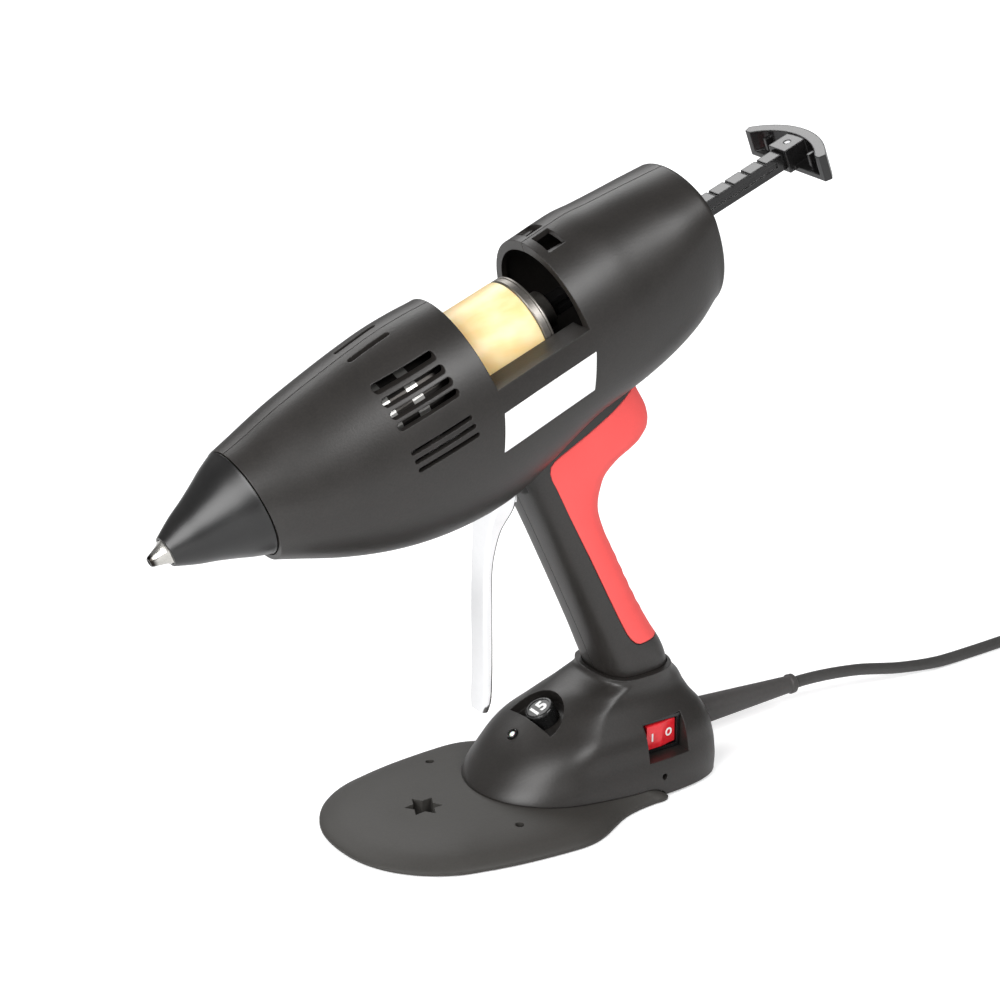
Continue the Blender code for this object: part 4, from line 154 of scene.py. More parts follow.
def soft_lamp(name, place, aim, wide, tall, power):
    """Rectangular area lamp at a place, turned towards its aim."""
    light = bpy.data.lights.new(name, "AREA")
    light.shape = "RECTANGLE"
    light.size = wide
    light.size_y = tall
    light.energy = power
    made = bpy.data.objects.new(name, light)
    made.location = place
    made.rotation_mode = "QUATERNION"
    made.rotation_quaternion = (Vector(place) - Vector(aim)).to_track_quat("Z", "Y")
    bpy.context.scene.collection.objects.link(made)


soft_lamp("softbox_left", (-1.30, -0.60, 0.85), (0.0, 0.0, 0.14), 1.1, 1.0, 27.0)
soft_lamp("softbox_front", (0.25, -1.30, 1.30), (0.0, 0.0, 0.15), 0.7, 0.5, 15.0)
soft_lamp("softbox_back", (0.3, 1.3, 1.25), (0.0, 0.0, 0.14), 1.4, 0.7, 12.0)

floor_mesh = bpy.data.meshes.new("studio_floor")
FLOOR_HALF = 6.0
floor_corners = [(sx * FLOOR_HALF, sy * FLOOR_HALF, 0.0) for sx, sy in ((-1, -1), (1, -1), (1, 1), (-1, 1))]
floor_mesh.from_pydata(floor_corners, [], [(0, 1, 2, 3)])
floor = bpy.data.objects.new("studio_floor", floor_mesh)
bpy.context.scene.collection.objects.link(floor)
paper = bpy.data.materials.new("matt_white_paper_floor")
paper.use_nodes = True
tree = paper.node_tree
tree.nodes.clear()
path = add(tree, "ShaderNodeLightPath").outputs
sheet = add(tree, "ShaderNodeBsdfDiffuse", {"Color": linear("#f4f4f4")}).outputs[0]
spot = add(tree, "ShaderNodeTexCoord").outputs["Object"]
far = add(tree, "ShaderNodeVectorMath", {0: spot}, operation="LENGTH").outputs["Value"]
glow = ranged(tree, far, 0.40, 1.0, 0.7, 1.9)
lift = add(tree, "ShaderNodeEmission", {"Color": linear("#ffffff"), "Strength": glow}).outputs[0]
lit = add(tree, "ShaderNodeAddShader", {0: sheet, 1: lift}).outputs[0]
faded = add(tree, "ShaderNodeMixShader", {0: path["Is Camera Ray"], 1: sheet, 2: lit}).outputs[0]
add(tree, "ShaderNodeOutputMaterial", {"Surface": faded})
floor_mesh.materials.append(paper)


# Cord set: a round mains flex of 5.5 mm in a soft sheath, moulded to a tapered strain relief at the stand and
# to a fused plug. Its spare length lies behind the stand in a flat coil of two layers, held by a strap.


STAR_HOLE_X = -0.036794


def to_room(points):
    """Points of the stand's frame, whose zero is the middle of the star hole, in the room's frame."""
    return np.asarray(points, float) + (STAR_HOLE_X, 0.0, 0.0)


def smooth_line(points, spacing):
    """Smooth curve through points: each inner span is a cubic whose end slopes are means of its neighbours'
    slopes weighted by their lengths; the first and last spans are straight."""
    points = np.asarray(points, float)
    leg = np.diff(points, axis=0)
    far = np.linalg.norm(leg, axis=1)
    made = [points[:1]]
    for i in range(1, len(points) - 2):
        before, here, after = far[i - 1 : i + 2]
        leaving = leg[i - 1] / before - (leg[i - 1] + leg[i]) / (before + here) + leg[i] / here
        arriving = leg[i] / here - (leg[i] + leg[i + 1]) / (here + after) + leg[i + 1] / after
        steps = max(round(here / spacing), 1)
        t = (np.arange(steps) / steps)[:, None]
        start = points[i] * (2 * t**3 - 3 * t**2 + 1) + leaving * here * (t**3 - 2 * t**2 + t)
        made.append(start + points[i + 1] * (3 * t**2 - 2 * t**3) + arriving * here * (t**3 - t**2))
    return np.concatenate(made + [points[-2:]])


FLEX_RADIUS = 0.00275
FLEX_LEVEL = 0.016
RELIEF_END = 0.2005
run = 2 * FLEX_RADIUS
coil_centre = np.array((0.380, -0.0425))
coil_pitch = run + 0.0007
coil_low = FLEX_RADIUS + 0.0012
coil_high = coil_low + run + 0.0006
COIL_EYE = 0.0225
COIL_TURNS = 8
COIL_STEPS = 48
INWARD_TURNS = 3.75
turn = np.arange(COIL_TURNS * COIL_STEPS + 1) / COIL_STEPS
radius = COIL_EYE + coil_pitch * np.abs(turn - INWARD_TURNS)
share = np.clip((turn - 3.5) / 0.5, 0.0, 1.0)
level = coil_low + (coil_high - coil_low) * (3 * share**2 - 2 * share**3)
angle = math.pi / 2 - math.tau * turn
coil_line = np.stack(
    (coil_centre[0] + radius * np.cos(angle), coil_centre[1] + radius * np.sin(angle), level), axis=1
)
lead = np.array((run, 0.0, 0.0))
cord_start = np.array((RELIEF_END + 0.0003, 0.0, FLEX_LEVEL))
coil_in = coil_line[0] - lead * 1.6
first_line = smooth_line(
    [
        cord_start,
        cord_start + lead,
        (0.2360, 0.0, 0.0134),
        (0.2660, 0.0010, 0.0068),
        (0.2900, 0.0020, 0.0034),
        (0.3100, 0.0030, 0.00285),
        (0.3400, 0.0040, 0.0031),
        coil_in - lead * 1.05,
        coil_in,
    ],
    run,
)
PLUG_X = 0.452
plug_y = coil_line[-1][1]
coil_out = coil_line[-1] + lead * 1.6
plug_entry = np.array((PLUG_X, plug_y, 0.011))
last_line = smooth_line([coil_out, coil_out + lead, plug_entry - lead, plug_entry + lead * 0.4], run)
flex_line = to_room(np.concatenate([first_line, coil_line, last_line]))


def waxy_finish(name, code, shine, grain):
    """Sheath, rubber, ceramic, board or ink: one colour with a waxy sheen and a faint grain."""
    made, tree, shader, where = new_material(name)
    grains = noise(tree, where, 1.0 / grain, 3.0)
    surface = {
        "Base Color": shade_ramp(tree, grains, code, 0.8, 1.25).outputs["Color"],
        "Roughness": ranged(tree, grains, shine - 0.06, shine + 0.06),
        "Normal": bumped(tree, grains, 0.25, grain * 0.08),
        "IOR": 1.5,
    }
    feed(tree, shader, surface)
    return made


flex_sheath = waxy_finish("extruded_pvc_flex_sheath", "#3b3a39", 0.50, 0.0022)
flex_curve = bpy.data.curves.new("mains_flex", "CURVE")
flex_curve.dimensions = "3D"
flex_curve.bevel_depth = FLEX_RADIUS
flex_curve.bevel_resolution = 5
flex_curve.use_fill_caps = True
strand = flex_curve.splines.new("POLY")
strand.points.add(len(flex_line) - 1)
strand.points.foreach_set("co", np.concatenate([flex_line, np.ones((len(flex_line), 1))], axis=1).ravel())
flex_curve.materials.append(flex_sheath)
flex = bpy.data.objects.new("mains_flex", flex_curve)
bpy.context.scene.collection.objects.link(flex)
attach(flex, "gun_and_stand")
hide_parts("mains_cord", "cord_coil", "cord_tail")


def skin(name, rings, material, loop=False, sharp=35.0):
    """Mesh over rings of points [row, around, xyz]: each quad joins two neighbours of a ring to the same
    two of the next one. Both ends are closed by one face each, or the last ring joins the first one."""
    rows, around = rings.shape[:2]
    index = np.arange(rows * around).reshape(rows, around)
    low = index if loop else index[:-1]
    high = np.roll(index, -1, axis=0) if loop else index[1:]
    quads = np.stack((low, np.roll(low, -1, axis=1), np.roll(high, -1, axis=1), high), axis=-1).reshape(-1, 4)
    faces = quads.tolist()
    if not loop:
        faces += [index[0][::-1].tolist(), index[-1].tolist()]
    mesh = bpy.data.meshes.new(name)
    mesh.from_pydata(rings.reshape(-1, 3).tolist(), [], faces)
    return settle(name, mesh, material, sharp)


def settle(name, mesh, material, sharp=35.0):
    """Object for a finished mesh: its faces turned outwards, smooth but for edges sharper than an angle."""
    bm = bmesh.new()
    bm.from_mesh(mesh)
    bmesh.ops.remove_doubles(bm, verts=bm.verts, dist=1e-7)
    bmesh.ops.recalc_face_normals(bm, faces=bm.faces)
    bm.to_mesh(mesh)
    bm.free()
    mesh.shade_smooth()
    mesh.set_sharp_from_angle(angle=math.radians(sharp))
    mesh.materials.clear()
    if material:
        mesh.materials.append(material)
    made = bpy.data.objects.new(name, mesh)
    bpy.context.scene.collection.objects.link(made)
    return made


def turned(name, profile, material, place, steps=96, loop=False, sharp=35.0):
    """Turned body: (along, radius) points swept round an axis; `place` turns the two cross values and the
    distance along into points of the room."""
    profile = np.asarray(profile, float)
    turn = np.linspace(0.0, math.tau, steps, endpoint=False)
    across = profile[:, 1:2] * np.cos(turn)
    rise = profile[:, 1:2] * np.sin(turn)
    along = np.repeat(profile[:, :1], steps, axis=1)
    return skin(name, place(along, across, rise), material, loop=loop, sharp=sharp)


def along_flex(along, across, rise):
    return to_room(np.stack((along, across, FLEX_LEVEL + rise), axis=-1))


relief_rubber = waxy_finish("moulded_rubber_strain_relief", "#3f3d3c", 0.55, 0.0016)
relief_profile = [(0.1350, 0.0), (0.1347, 0.0090), (0.1372, 0.0090), (0.1372, 0.0070), (0.1425, 0.0070)]
relief_profile += [(0.1432, 0.0068)]
relief_profile += [(0.1436 + 0.0535 * t, 0.0067 - 0.0027 * t) for t in np.linspace(0.0, 1.0, 12)]
relief_profile += [(0.1974, 0.00425), (0.1979, 0.00462), (0.2000, 0.00450), (0.20045, 0.0041)]
relief_profile += [(RELIEF_END, 0.0029), (RELIEF_END, 0.0)]
relief = turned("strain_relief_boot", relief_profile, relief_rubber, along_flex, 64)
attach(relief, "gun_and_stand")
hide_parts("strain_relief")


def rounded_box(half_a, half_b, corner, steps=8):
    """Closed outline of a rectangle with round corners: four quarter circles joined by straight sides."""
    t = np.linspace(0.0, math.pi / 2, steps)
    a = half_a - corner
    b = half_b - corner
    made = []
    for k, (sa, sb) in enumerate(((1, 1), (-1, 1), (-1, -1), (1, -1))):
        turn = t + k * math.pi / 2
        made.append(np.stack((sa * a + corner * np.cos(turn), sb * b + corner * np.sin(turn)), axis=1))
    return np.concatenate(made)


# Plug: a fused plug moulded from hard glossy plastic round the end of the flex, lying on its back. Its three
# flat pins are nickelled brass blades set in its face.
PLUG_HALF = 0.025
plug_rings = []
for high, inset in (
    (0.0, 0.0060), (0.0006, 0.0034), (0.0020, 0.0016), (0.0050, 0.0006), (0.0120, 0.0),
    (0.0180, 0.0004), (0.0204, 0.0012), (0.0206, 0.0028), (0.0216, 0.0032), (0.0220, 0.0038),
):
    outline = rounded_box(PLUG_HALF - inset, PLUG_HALF - inset, 0.0085 - inset * 0.8, 12)
    plug_rings.append(np.column_stack((outline + (PLUG_X + PLUG_HALF, plug_y), np.full(len(outline), high))))
plug_gloss = waxy_finish("moulded_urea_plug", "#1d1d1e", 0.30, 0.004)
plug = skin("fused_plug", to_room(np.array(plug_rings)), plug_gloss)
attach(plug, "gun_and_stand")
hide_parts("plug_body")


def drawn_metal(name, code, rough, scratch):
    """Bare or plated metal: fine drawing lines vary its roughness and tilt its surface a little."""
    made, tree, shader, where = new_material(name)
    drawn = add(tree, "ShaderNodeMapping", {"Vector": where, "Scale": (0.25, 1.0, 1.0)}).outputs["Vector"]
    fine = {"Vector": drawn, "Scale": 1.0 / scratch, "Detail": 4.0, "Roughness": 0.6}
    lines = add(tree, "ShaderNodeTexNoise", fine).outputs["Fac"]
    tone = shade_ramp(tree, lines, code, 0.92, 1.08)
    tone.color_ramp.elements[0].position = 0.3
    tone.color_ramp.elements[1].position = 0.7
    surface = {
        "Base Color": tone.outputs["Color"],
        "Roughness": ranged(tree, lines, max(rough - 0.06, 0.02), rough + 0.06),
        "Normal": bumped(tree, lines, 0.15, scratch * 0.05),
        "Metallic": 1.0,
    }
    feed(tree, shader, surface)
    return made


def reopened(material):
    """A finished metal's tree and shader, the socket that colours it, and its Object coordinates."""
    tree = material.node_tree
    shader = tree.nodes["Principled BSDF"]
    plain = shader.inputs["Base Color"].links[0].from_socket
    return tree, shader, plain, add(tree, "ShaderNodeTexCoord").outputs["Object"]


pin_brass = drawn_metal("nickelled_brass_pins", "#cbb489", 0.28, 0.0012)
for node, along, aside, half_x, half_y in (
    ("plug_pin_line", 0.0140, -0.0111, 0.00200, 0.00315),
    ("plug_pin_neutral", 0.0140, 0.0111, 0.00200, 0.00315),
    ("plug_pin_earth", 0.0362, 0.0, 0.00400, 0.00200),
):
    rings = []
    for high, inset in ((0.0182, 0.0), (0.0385, 0.0), (0.0392, 0.0003), (0.0397, 0.0009)):
        outline = rounded_box(half_x - inset, half_y - inset, 0.0004, 3) + (PLUG_X + along, plug_y + aside)
        rings.append(np.column_stack((outline, np.full(len(outline), high))))
    pin = skin(f"{node}_blade", to_room(np.array(rings)), pin_brass)
    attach(pin, "gun_and_stand")
    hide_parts(node)

# Strap round the coil: a thin moulded silicone band, 8 mm wide, that goes through the coil's eye once and
# holds its two layers together.
STRAP_GAP = 0.0007
strap_in = COIL_EYE + coil_pitch / 2 - FLEX_RADIUS - STRAP_GAP
strap_out = COIL_EYE + INWARD_TURNS * coil_pitch - coil_pitch / 4 + FLEX_RADIUS + STRAP_GAP
strap_low = 0.0009
strap_high = coil_high + FLEX_RADIUS + STRAP_GAP
strap_middle = ((strap_in + strap_out) / 2, (strap_low + strap_high) / 2)
strap_rings = []
for grow, side in ((0.0, -1), (0.0004, -1.06), (0.0009, -1.0), (0.0009, 1.0), (0.0004, 1.06), (0.0, 1)):
    half = ((strap_out - strap_in) / 2 + grow, (strap_high - strap_low) / 2 + grow)
    outline = rounded_box(*half, 0.0022 + grow, 6) + strap_middle
    side_y = np.full(len(outline), coil_centre[1] + side * 0.0038)
    strap_rings.append(np.column_stack((coil_centre[0] + outline[:, 0], side_y, outline[:, 1])))
strap_black = waxy_finish("moulded_silicone_strap", "#1b1b1b", 0.6, 0.0012)
strap = skin("coil_strap", to_room(np.array(strap_rings)), strap_black, loop=True)
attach(strap, "gun_and_stand")
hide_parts("coil_tie")


# Gun body: two handed halves of the barrel and handle, moulded in glass-filled nylon with a fine spark-eroded
# grain and screwed together on the middle plane; vents, loading bay and trigger slot are cut through them.

TILT = math.radians(20.64)
BODY_RADIUS = 0.035
FRONT_REACH = 0.1394
REAR_REACH = 0.0900
SHELL_WALL = 0.0026
SEAM = 0.0003


PISTON_PLACE = (0.0476, 0.21684)


def barrel(ahead, side, height):
    """Points of the barrel's frame in the room: distance ahead of the piston along the tilted axis, a side,
    and a height square to the axis."""
    ahead, side, height = np.broadcast_arrays(ahead, side, height)
    x = PISTON_PLACE[0] - ahead * math.cos(TILT) - height * math.sin(TILT)
    z = PISTON_PLACE[1] - ahead * math.sin(TILT) + height * math.cos(TILT)
    return to_room(np.stack((x, side, z), axis=-1))


def curve_through(table, at):
    """Smooth curve through a table's rows, its first column the place: on each span a cubic, and at each row
    the slope is the mean of the two spans' slopes, weighted by the other span's length."""
    table = np.asarray(table, float)
    at = np.atleast_1d(at)
    x = table[:, 0]
    y = table[:, 1:]
    span = np.diff(x)[:, None]
    slope = np.diff(y, axis=0) / span
    inner = (slope[:-1] * span[1:] + slope[1:] * span[:-1]) / (span[:-1] + span[1:])
    slopes = np.concatenate((slope[:1], inner, slope[-1:]))
    k = np.clip(np.searchsorted(x, at, side="right") - 1, 0, len(x) - 2)
    h = (x[k + 1] - x[k])[:, None]
    t = (at - x[k])[:, None] / h
    start = y[k] * (2 * t**3 - 3 * t**2 + 1) + slopes[k] * h * (t**3 - 2 * t**2 + t)
    return start + y[k + 1] * (3 * t**2 - 2 * t**3) + slopes[k + 1] * h * (t**3 - t**2)


# Rows from the rear face to the nose: share of the reach, then half width, crest, keel and widest line as
# shares of the radius, squareness of the lower half, and how far the row follows the rear face's sweep.
BARREL_ROWS = np.array(
    (
        (-0.970, 0.790, 0.815, -1.100, 0.200, 2.0, 0.1),
        (-0.820, 0.865, 0.855, -1.220, 0.050, 2.2, 0.0),
        (-0.689, 0.900, 0.890, -1.300, -0.080, 2.3, 0.0),
        (-0.522, 0.943, 0.931, -1.370, -0.180, 2.3, 0.0),
        (-0.422, 0.970, 0.963, -1.390, -0.220, 2.3, 0.0),
        (-0.333, 0.986, 0.960, -1.400, -0.257, 2.3, 0.0),
        (-0.161, 1.000, 0.946, -1.420, -0.314, 2.3, 0.0),
        (0.143, 1.034, 0.946, -1.729, -0.414, 2.0, 0.0),
        (0.244, 1.051, 0.946, -1.814, -0.423, 2.0, 0.0),
        (0.323, 1.063, 0.969, -1.823, -0.414, 2.0, 0.0),
        (0.423, 1.060, 0.977, -1.783, -0.391, 2.0, 0.0),
        (0.516, 1.043, 0.954, -1.709, -0.360, 2.0, 0.0),
        (0.617, 1.009, 0.914, -1.586, -0.323, 2.0, 0.0),
        (0.815, 0.897, 0.811, -1.217, -0.206, 2.0, 0.0),
        (0.947, 0.771, 0.711, -0.894, -0.094, 2.0, 0.0),
        (1.000, 0.691, 0.680, -0.771, -0.029, 2.0, 0.0),
    )
)
BARREL_ROWS[:, 0] *= np.where(BARREL_ROWS[:, 0] > 0.0, FRONT_REACH, REAR_REACH)


def polar_reach(turn, wide, deep, square):
    """Distance from the middle of a rounded rectangle to its edge in one direction: the power sum of the two
    cosines over the half widths, to the minus one over that power."""
    powers = (np.abs(np.cos(turn)) / wide) ** square + (np.abs(np.sin(turn)) / deep) ** square
    return powers ** (-1.0 / square)


def barrel_section(rows, ahead, inset, scale, around):
    """Rings of the barrel: a round crest over a deeper keel that grows squarer to the rear. The rear face's
    rings lean with the square of their height over its radius."""
    half_width, crest, keel, widest, square, sweep = (column[:, None] for column in rows.T)
    turn = np.linspace(0.0, math.tau, around, endpoint=False)[None, :]
    scale = np.asarray(scale, float)[:, None]
    wide = (half_width * BODY_RADIUS - inset) * scale
    middle = widest * BODY_RADIUS * scale
    top = (crest * BODY_RADIUS - inset) * scale - middle
    bottom = middle - (keel * BODY_RADIUS + inset) * scale
    upper = np.sin(turn) >= 0.0
    reach = polar_reach(turn, wide, np.where(upper, top, bottom), np.where(upper, 2.0, square))
    height = middle + reach * np.sin(turn)
    bend = sweep * (height - 0.003) ** 2 / 0.1
    return barrel(np.asarray(ahead, float)[:, None] + bend, reach * np.cos(turn), height)


def barrel_skin(name, inset, material, front=0.0, rear=0.0, rows=84, around=112):
    """The barrel's outer or inner skin, from its flat front end to the rear face with its rounded edge."""
    edge = BARREL_ROWS[0, 0] * (REAR_REACH - rear) / REAR_REACH
    ahead = np.linspace(FRONT_REACH + front, edge, rows)
    scale = np.ones(rows)
    table = curve_through(BARREL_ROWS, np.clip(ahead, BARREL_ROWS[0, 0], FRONT_REACH))
    arc = np.linspace(0.0, math.pi / 2, 7)[1:]
    depth = REAR_REACH - rear + edge
    ahead = np.concatenate((ahead, edge - depth * np.sin(arc), np.full(5, rear - REAR_REACH)))
    scale = np.concatenate((scale, 1.0 - 0.07 * (1.0 - np.cos(arc)), (0.75, 0.55, 0.35, 0.15, 0.02)))
    table = np.concatenate((table, np.repeat(table[-1:], 11, axis=0)))
    return skin(name, barrel_section(table, ahead, inset, scale, around), material)


# Handle rows: share of its rise, reach ahead of and behind its leaning centre line, and half width.
HANDLE_ROWS = np.array(
    (
        (-0.036, 0.270, 0.500, 0.950),
        (0.030, 0.270, 0.560, 0.970),
        (0.061, 0.265, 0.560, 0.970),
        (0.109, 0.260, 0.525, 0.950),
        (0.176, 0.258, 0.490, 0.940),
        (0.356, 0.260, 0.457, 0.950),
        (0.425, 0.262, 0.450, 0.960),
        (0.495, 0.268, 0.502, 0.980),
        (0.544, 0.272, 0.630, 1.000),
        (0.579, 0.278, 0.767, 1.010),
        (0.612, 0.283, 0.998, 1.020),
        (0.645, 0.288, 1.310, 1.030),
        (0.668, 0.292, 1.435, 1.030),
        (0.695, 0.300, 1.510, 1.030),
        (0.793, 0.500, 1.520, 1.040),
        (0.837, 0.400, 1.530, 1.040),
        (0.878, 0.300, 1.500, 1.040),
    )
)
HANDLE_DEPTH = 0.042
HANDLE_HALF = 0.0175
HANDLE_FOOT = 0.052
HANDLE_RISE = 0.16484
HANDLE_SQUARENESS = 2.7
FINGERS_LOW = 0.074
FINGERS_HIGH = 0.118
FINGER_PITCH = 0.0068


def handle_middle(share):
    """Handle's centre line: it leans back towards its foot."""
    return 0.0998 - 0.0740 * share


def handle_skin(name, inset, material, foot=0.0, around=96, rows=120, fingers=0.0):
    """Handle's skin: rounded rectangles whose front and rear reach differ, up the leaning centre line. Finger
    waves run down the lower rear face as a cosine that fades out at both ends."""
    share = np.linspace(HANDLE_ROWS[0, 0], HANDLE_ROWS[-1, 0], rows)
    table = curve_through(HANDLE_ROWS, share)
    level = HANDLE_FOOT + HANDLE_RISE * share
    level[0] -= foot
    share = (level - HANDLE_FOOT) / HANDLE_RISE
    ahead, behind, half_width = (column[:, None] for column in table.T)
    turn = np.linspace(0.0, math.tau, around, endpoint=False)[None, :]
    depth = np.where(np.cos(turn) > 0.0, behind, ahead) * HANDLE_DEPTH - inset
    reach = polar_reach(turn, depth, half_width * HANDLE_HALF - inset, HANDLE_SQUARENESS)
    place = level[:, None] + 0.0 * turn
    start = np.clip((place - FINGERS_LOW) / 0.008, 0.0, 1.0)
    fade = start * np.clip((FINGERS_HIGH - place) / 0.010, 0.0, 1.0)
    phase = (place - FINGERS_LOW) * math.tau / FINGER_PITCH
    reach = reach + fingers * fade * np.cos(phase) * np.clip(np.cos(turn), 0.0, 1.0) ** 3
    x = handle_middle(share)[:, None] + reach * np.cos(turn)
    return skin(name, to_room(np.stack((x, reach * np.sin(turn), place), axis=-1)), material)


def extruded(name, outline, low, high, place):
    """Closed prism: an outline of two values taken from one level to another, then put in its place."""
    outline = np.asarray(outline, float)
    levels = np.array((low, high), float)[:, None]
    a = np.repeat(outline[None, :, 0], 2, axis=0)
    b = np.repeat(outline[None, :, 1], 2, axis=0)
    return skin(name, place(a, b, np.repeat(levels, len(outline), axis=1)), None)


def across_barrel(ahead, height, side):
    return barrel(ahead, side, height)


def down_barrel(side, height, ahead):
    return barrel(ahead, side, height)


def upright(x, z, y):
    return to_room(np.stack((x, y, z), axis=-1))


def flat(x, y, z):
    return to_room(np.stack((x, y, z), axis=-1))


def rectangle(a, b, far_a, far_b):
    return ((a, b), (far_a, b), (far_a, far_b), (a, far_b))


def round_bar(name, low, high, radius, place, steps=32):
    """Plain round bar of one radius, for a pillar, a bore or a pocket."""
    return turned(name, ((low, radius), (high, radius)), None, place, steps)


def carved(target, operation, tools, name="carved", keep=(), sharp=35.0):
    """Mesh of a body after a run of cuts or joins; its tools are thrown away unless they are kept."""
    for tool in tools:
        step = target.modifiers.new(tool.name, "BOOLEAN")
        step.operation = operation
        step.object = tool
        step.solver = "MANIFOLD"
    bpy.context.view_layer.update()
    mesh = bpy.data.meshes.new_from_object(target.evaluated_get(bpy.context.evaluated_depsgraph_get()))
    material = target.data.materials[0] if target.data.materials else None
    bpy.data.objects.remove(target)
    for tool in tools:
        if tool not in keep:
            bpy.data.objects.remove(tool)
    return settle(name, mesh, material, sharp)


def moulded_plastic(name, deep, pale, rough, grain, depth, edge=0.0006, speckle=0.05):
    """Moulded plastic: a spark-eroded grain of one size tilts the surface, a wider mottle shifts its tone and
    its shine, and edges catch light as on a small radius."""
    made, tree, shader, where = new_material(name)
    grains = noise(tree, where, 1.0 / grain)
    mottle = noise(tree, where, 55.0, 4.0)
    tone = mixed_tones(tree, mottle, linear(deep), linear(pale))
    speck = ranged(tree, grains, 1.0 - speckle, 1.0 + speckle, 0.35, 0.65)
    soft_edge = add(tree, "ShaderNodeBevel", {"Radius": edge}, samples=4).outputs["Normal"]
    surface = {
        "Base Color": mixed_tones(tree, 1.0, tone, speck, "MULTIPLY"),
        "Roughness": ranged(tree, mottle, rough - 0.05, rough + 0.05),
        "Normal": bumped(tree, grains, 0.5, depth, soft_edge),
        "IOR": 1.53,
    }
    feed(tree, shader, surface)
    return made


nylon = moulded_plastic(
    "glass_filled_nylon_spark_grain", "#1f1d1b", "#282523", 0.41, 0.0009, 0.00008, speckle=0.12
)

outer = barrel_skin("barrel_outside", 0.0, nylon)
handle_outside = handle_skin("handle_outside", 0.0, nylon)
handle_core = handle_skin("handle_core", 0.0029, nylon)
# Edge of the grip: reach behind the centre line as a share of the depth, and share of the rise.
GRIP_EDGE = np.array(
    (
        (2.40, 0.838), (1.50, 0.810), (0.16, 0.674), (0.08, 0.664), (0.02, 0.652), (-0.012, 0.636),
        (-0.022, 0.615), (-0.012, 0.592), (0.005, 0.505), (0.034, 0.369), (0.069, 0.167), (0.080, 0.128),
        (0.100, 0.106), (0.135, 0.092), (0.180, 0.086), (0.330, 0.086), (2.40, 0.094),
    )
)
grip_ahead, grip_share = GRIP_EDGE.T
grip_outline = np.column_stack(
    (handle_middle(grip_share) + grip_ahead * HANDLE_DEPTH, HANDLE_FOOT + HANDLE_RISE * grip_share)
)
grip_zone = extruded("grip_zone", grip_outline, -0.05, 0.05, upright)
handle_front = carved(handle_outside, "DIFFERENCE", [grip_zone], "handle_front")
hollow = barrel_skin("barrel_inside", SHELL_WALL, None, front=0.004, rear=0.003, rows=48, around=64)
handle_inside = handle_skin("handle_inside", 0.0055, None, foot=0.004, around=48, rows=60)


BAY_TOP = 0.034
BAY_END = -0.0145


def bay_outline(spread):
    """Loading bay seen along the barrel: open at the top and on both sides, down to its rim."""
    return rectangle(-0.07, 0.001 - spread, 0.07, 0.039)


bay_cut = extruded("bay_cut", bay_outline(0.0), BAY_TOP, BAY_END, down_barrel)
bay_block = extruded(
    "bay_block", bay_outline(SHELL_WALL), BAY_TOP + SHELL_WALL, BAY_END - SHELL_WALL, down_barrel
)
trough_block = round_bar("trough_block", 0.0366, -0.0171, 0.0244, barrel, 96)
trough_cut = round_bar("trough_cut", 0.0343, -0.0148, 0.0218, barrel, 96)
sleeve_seat = round_bar("sleeve_seat", 0.0406, 0.0337, 0.0249, barrel, 96)
rear_mouth = round_bar("rear_mouth", -0.0142, -0.0211, 0.0285, barrel, 96)
# Screws: place ahead, height, and half width of the body there.
screw_places = (
    (0.10845, -0.03465, 0.0223), (-0.0693, -0.0266, 0.0258), (-0.0126, -0.0651, 0.0146),
    (0.01623, -0.12195, 0.0146),
)


def cross_barrel_at(ahead, height):
    """Places a body turned on a line across the barrel."""
    return lambda along, across, rise: barrel(ahead + across, along, height + rise)


pillars = [
    round_bar(f"pillar_{i}", -0.07, 0.07, 0.004, cross_barrel_at(ahead, height))
    for i, (ahead, height, _) in enumerate(screw_places)
]
hollow = carved(hollow, "UNION", [handle_inside], "hollow")
hollow = carved(hollow, "DIFFERENCE", [bay_block, trough_block, *pillars], "hollow")


def slot_outline(start, end, level, half):
    """Long hole with round ends: two half circles joined by straight sides."""
    turn = np.linspace(-math.pi / 2, math.pi / 2, 10)
    a = np.concatenate((end - half + half * np.cos(turn), start + half - half * np.cos(turn)))
    return np.column_stack((a, np.concatenate((level + half * np.sin(turn), level - half * np.sin(turn)))))


openings = [hollow, bay_cut, trough_cut, sleeve_seat, rear_mouth]
PIVOT = np.array((0.038045, 0.155965))
trigger_box = rectangle(-0.0159, -0.033, 0.0085, 0.006)
openings.append(extruded("trigger_slot", np.array(trigger_box) + PIVOT, -0.0106, 0.0106, upright))
rod_box = rectangle(-0.0040, -0.0044, 0.0040, 0.0044)
openings.append(extruded("rod_hole", rod_box, -0.0650, -0.0940, down_barrel))
# Vents down each side: height and half width; four wide ones above, three narrow ones below.
vents = (
    (0.02415, 0.0017), (0.019075, 0.0017), (0.014175, 0.0017), (0.00945, 0.0017), (-0.00175, 0.0010),
    (-0.005775, 0.0010), (-0.0098, 0.0010),
)
for i, (level, half) in enumerate(vents):
    for side in (-1, 1):
        outline = slot_outline(0.049, 0.079, level, half)
        openings.append(extruded(f"vent_{i}_{side}", outline, side * 0.0123, side * 0.039, across_barrel))
for side in (-1, 1):
    outline = slot_outline(0.057, 0.078, side * 0.0055, 0.00125)
    openings.append(extruded(f"crest_slot_{side}", outline, 0.0246, 0.039, barrel))
    pocket = rectangle(-0.0185, side * 0.00175, -0.0270, side * 0.01325)
    openings.append(extruded(f"hanger_{side}", pocket, 0.0289, 0.039, barrel))
whole = carved(outer, "UNION", [handle_front, handle_core], "whole")
whole = carved(whole, "DIFFERENCE", openings, "whole")

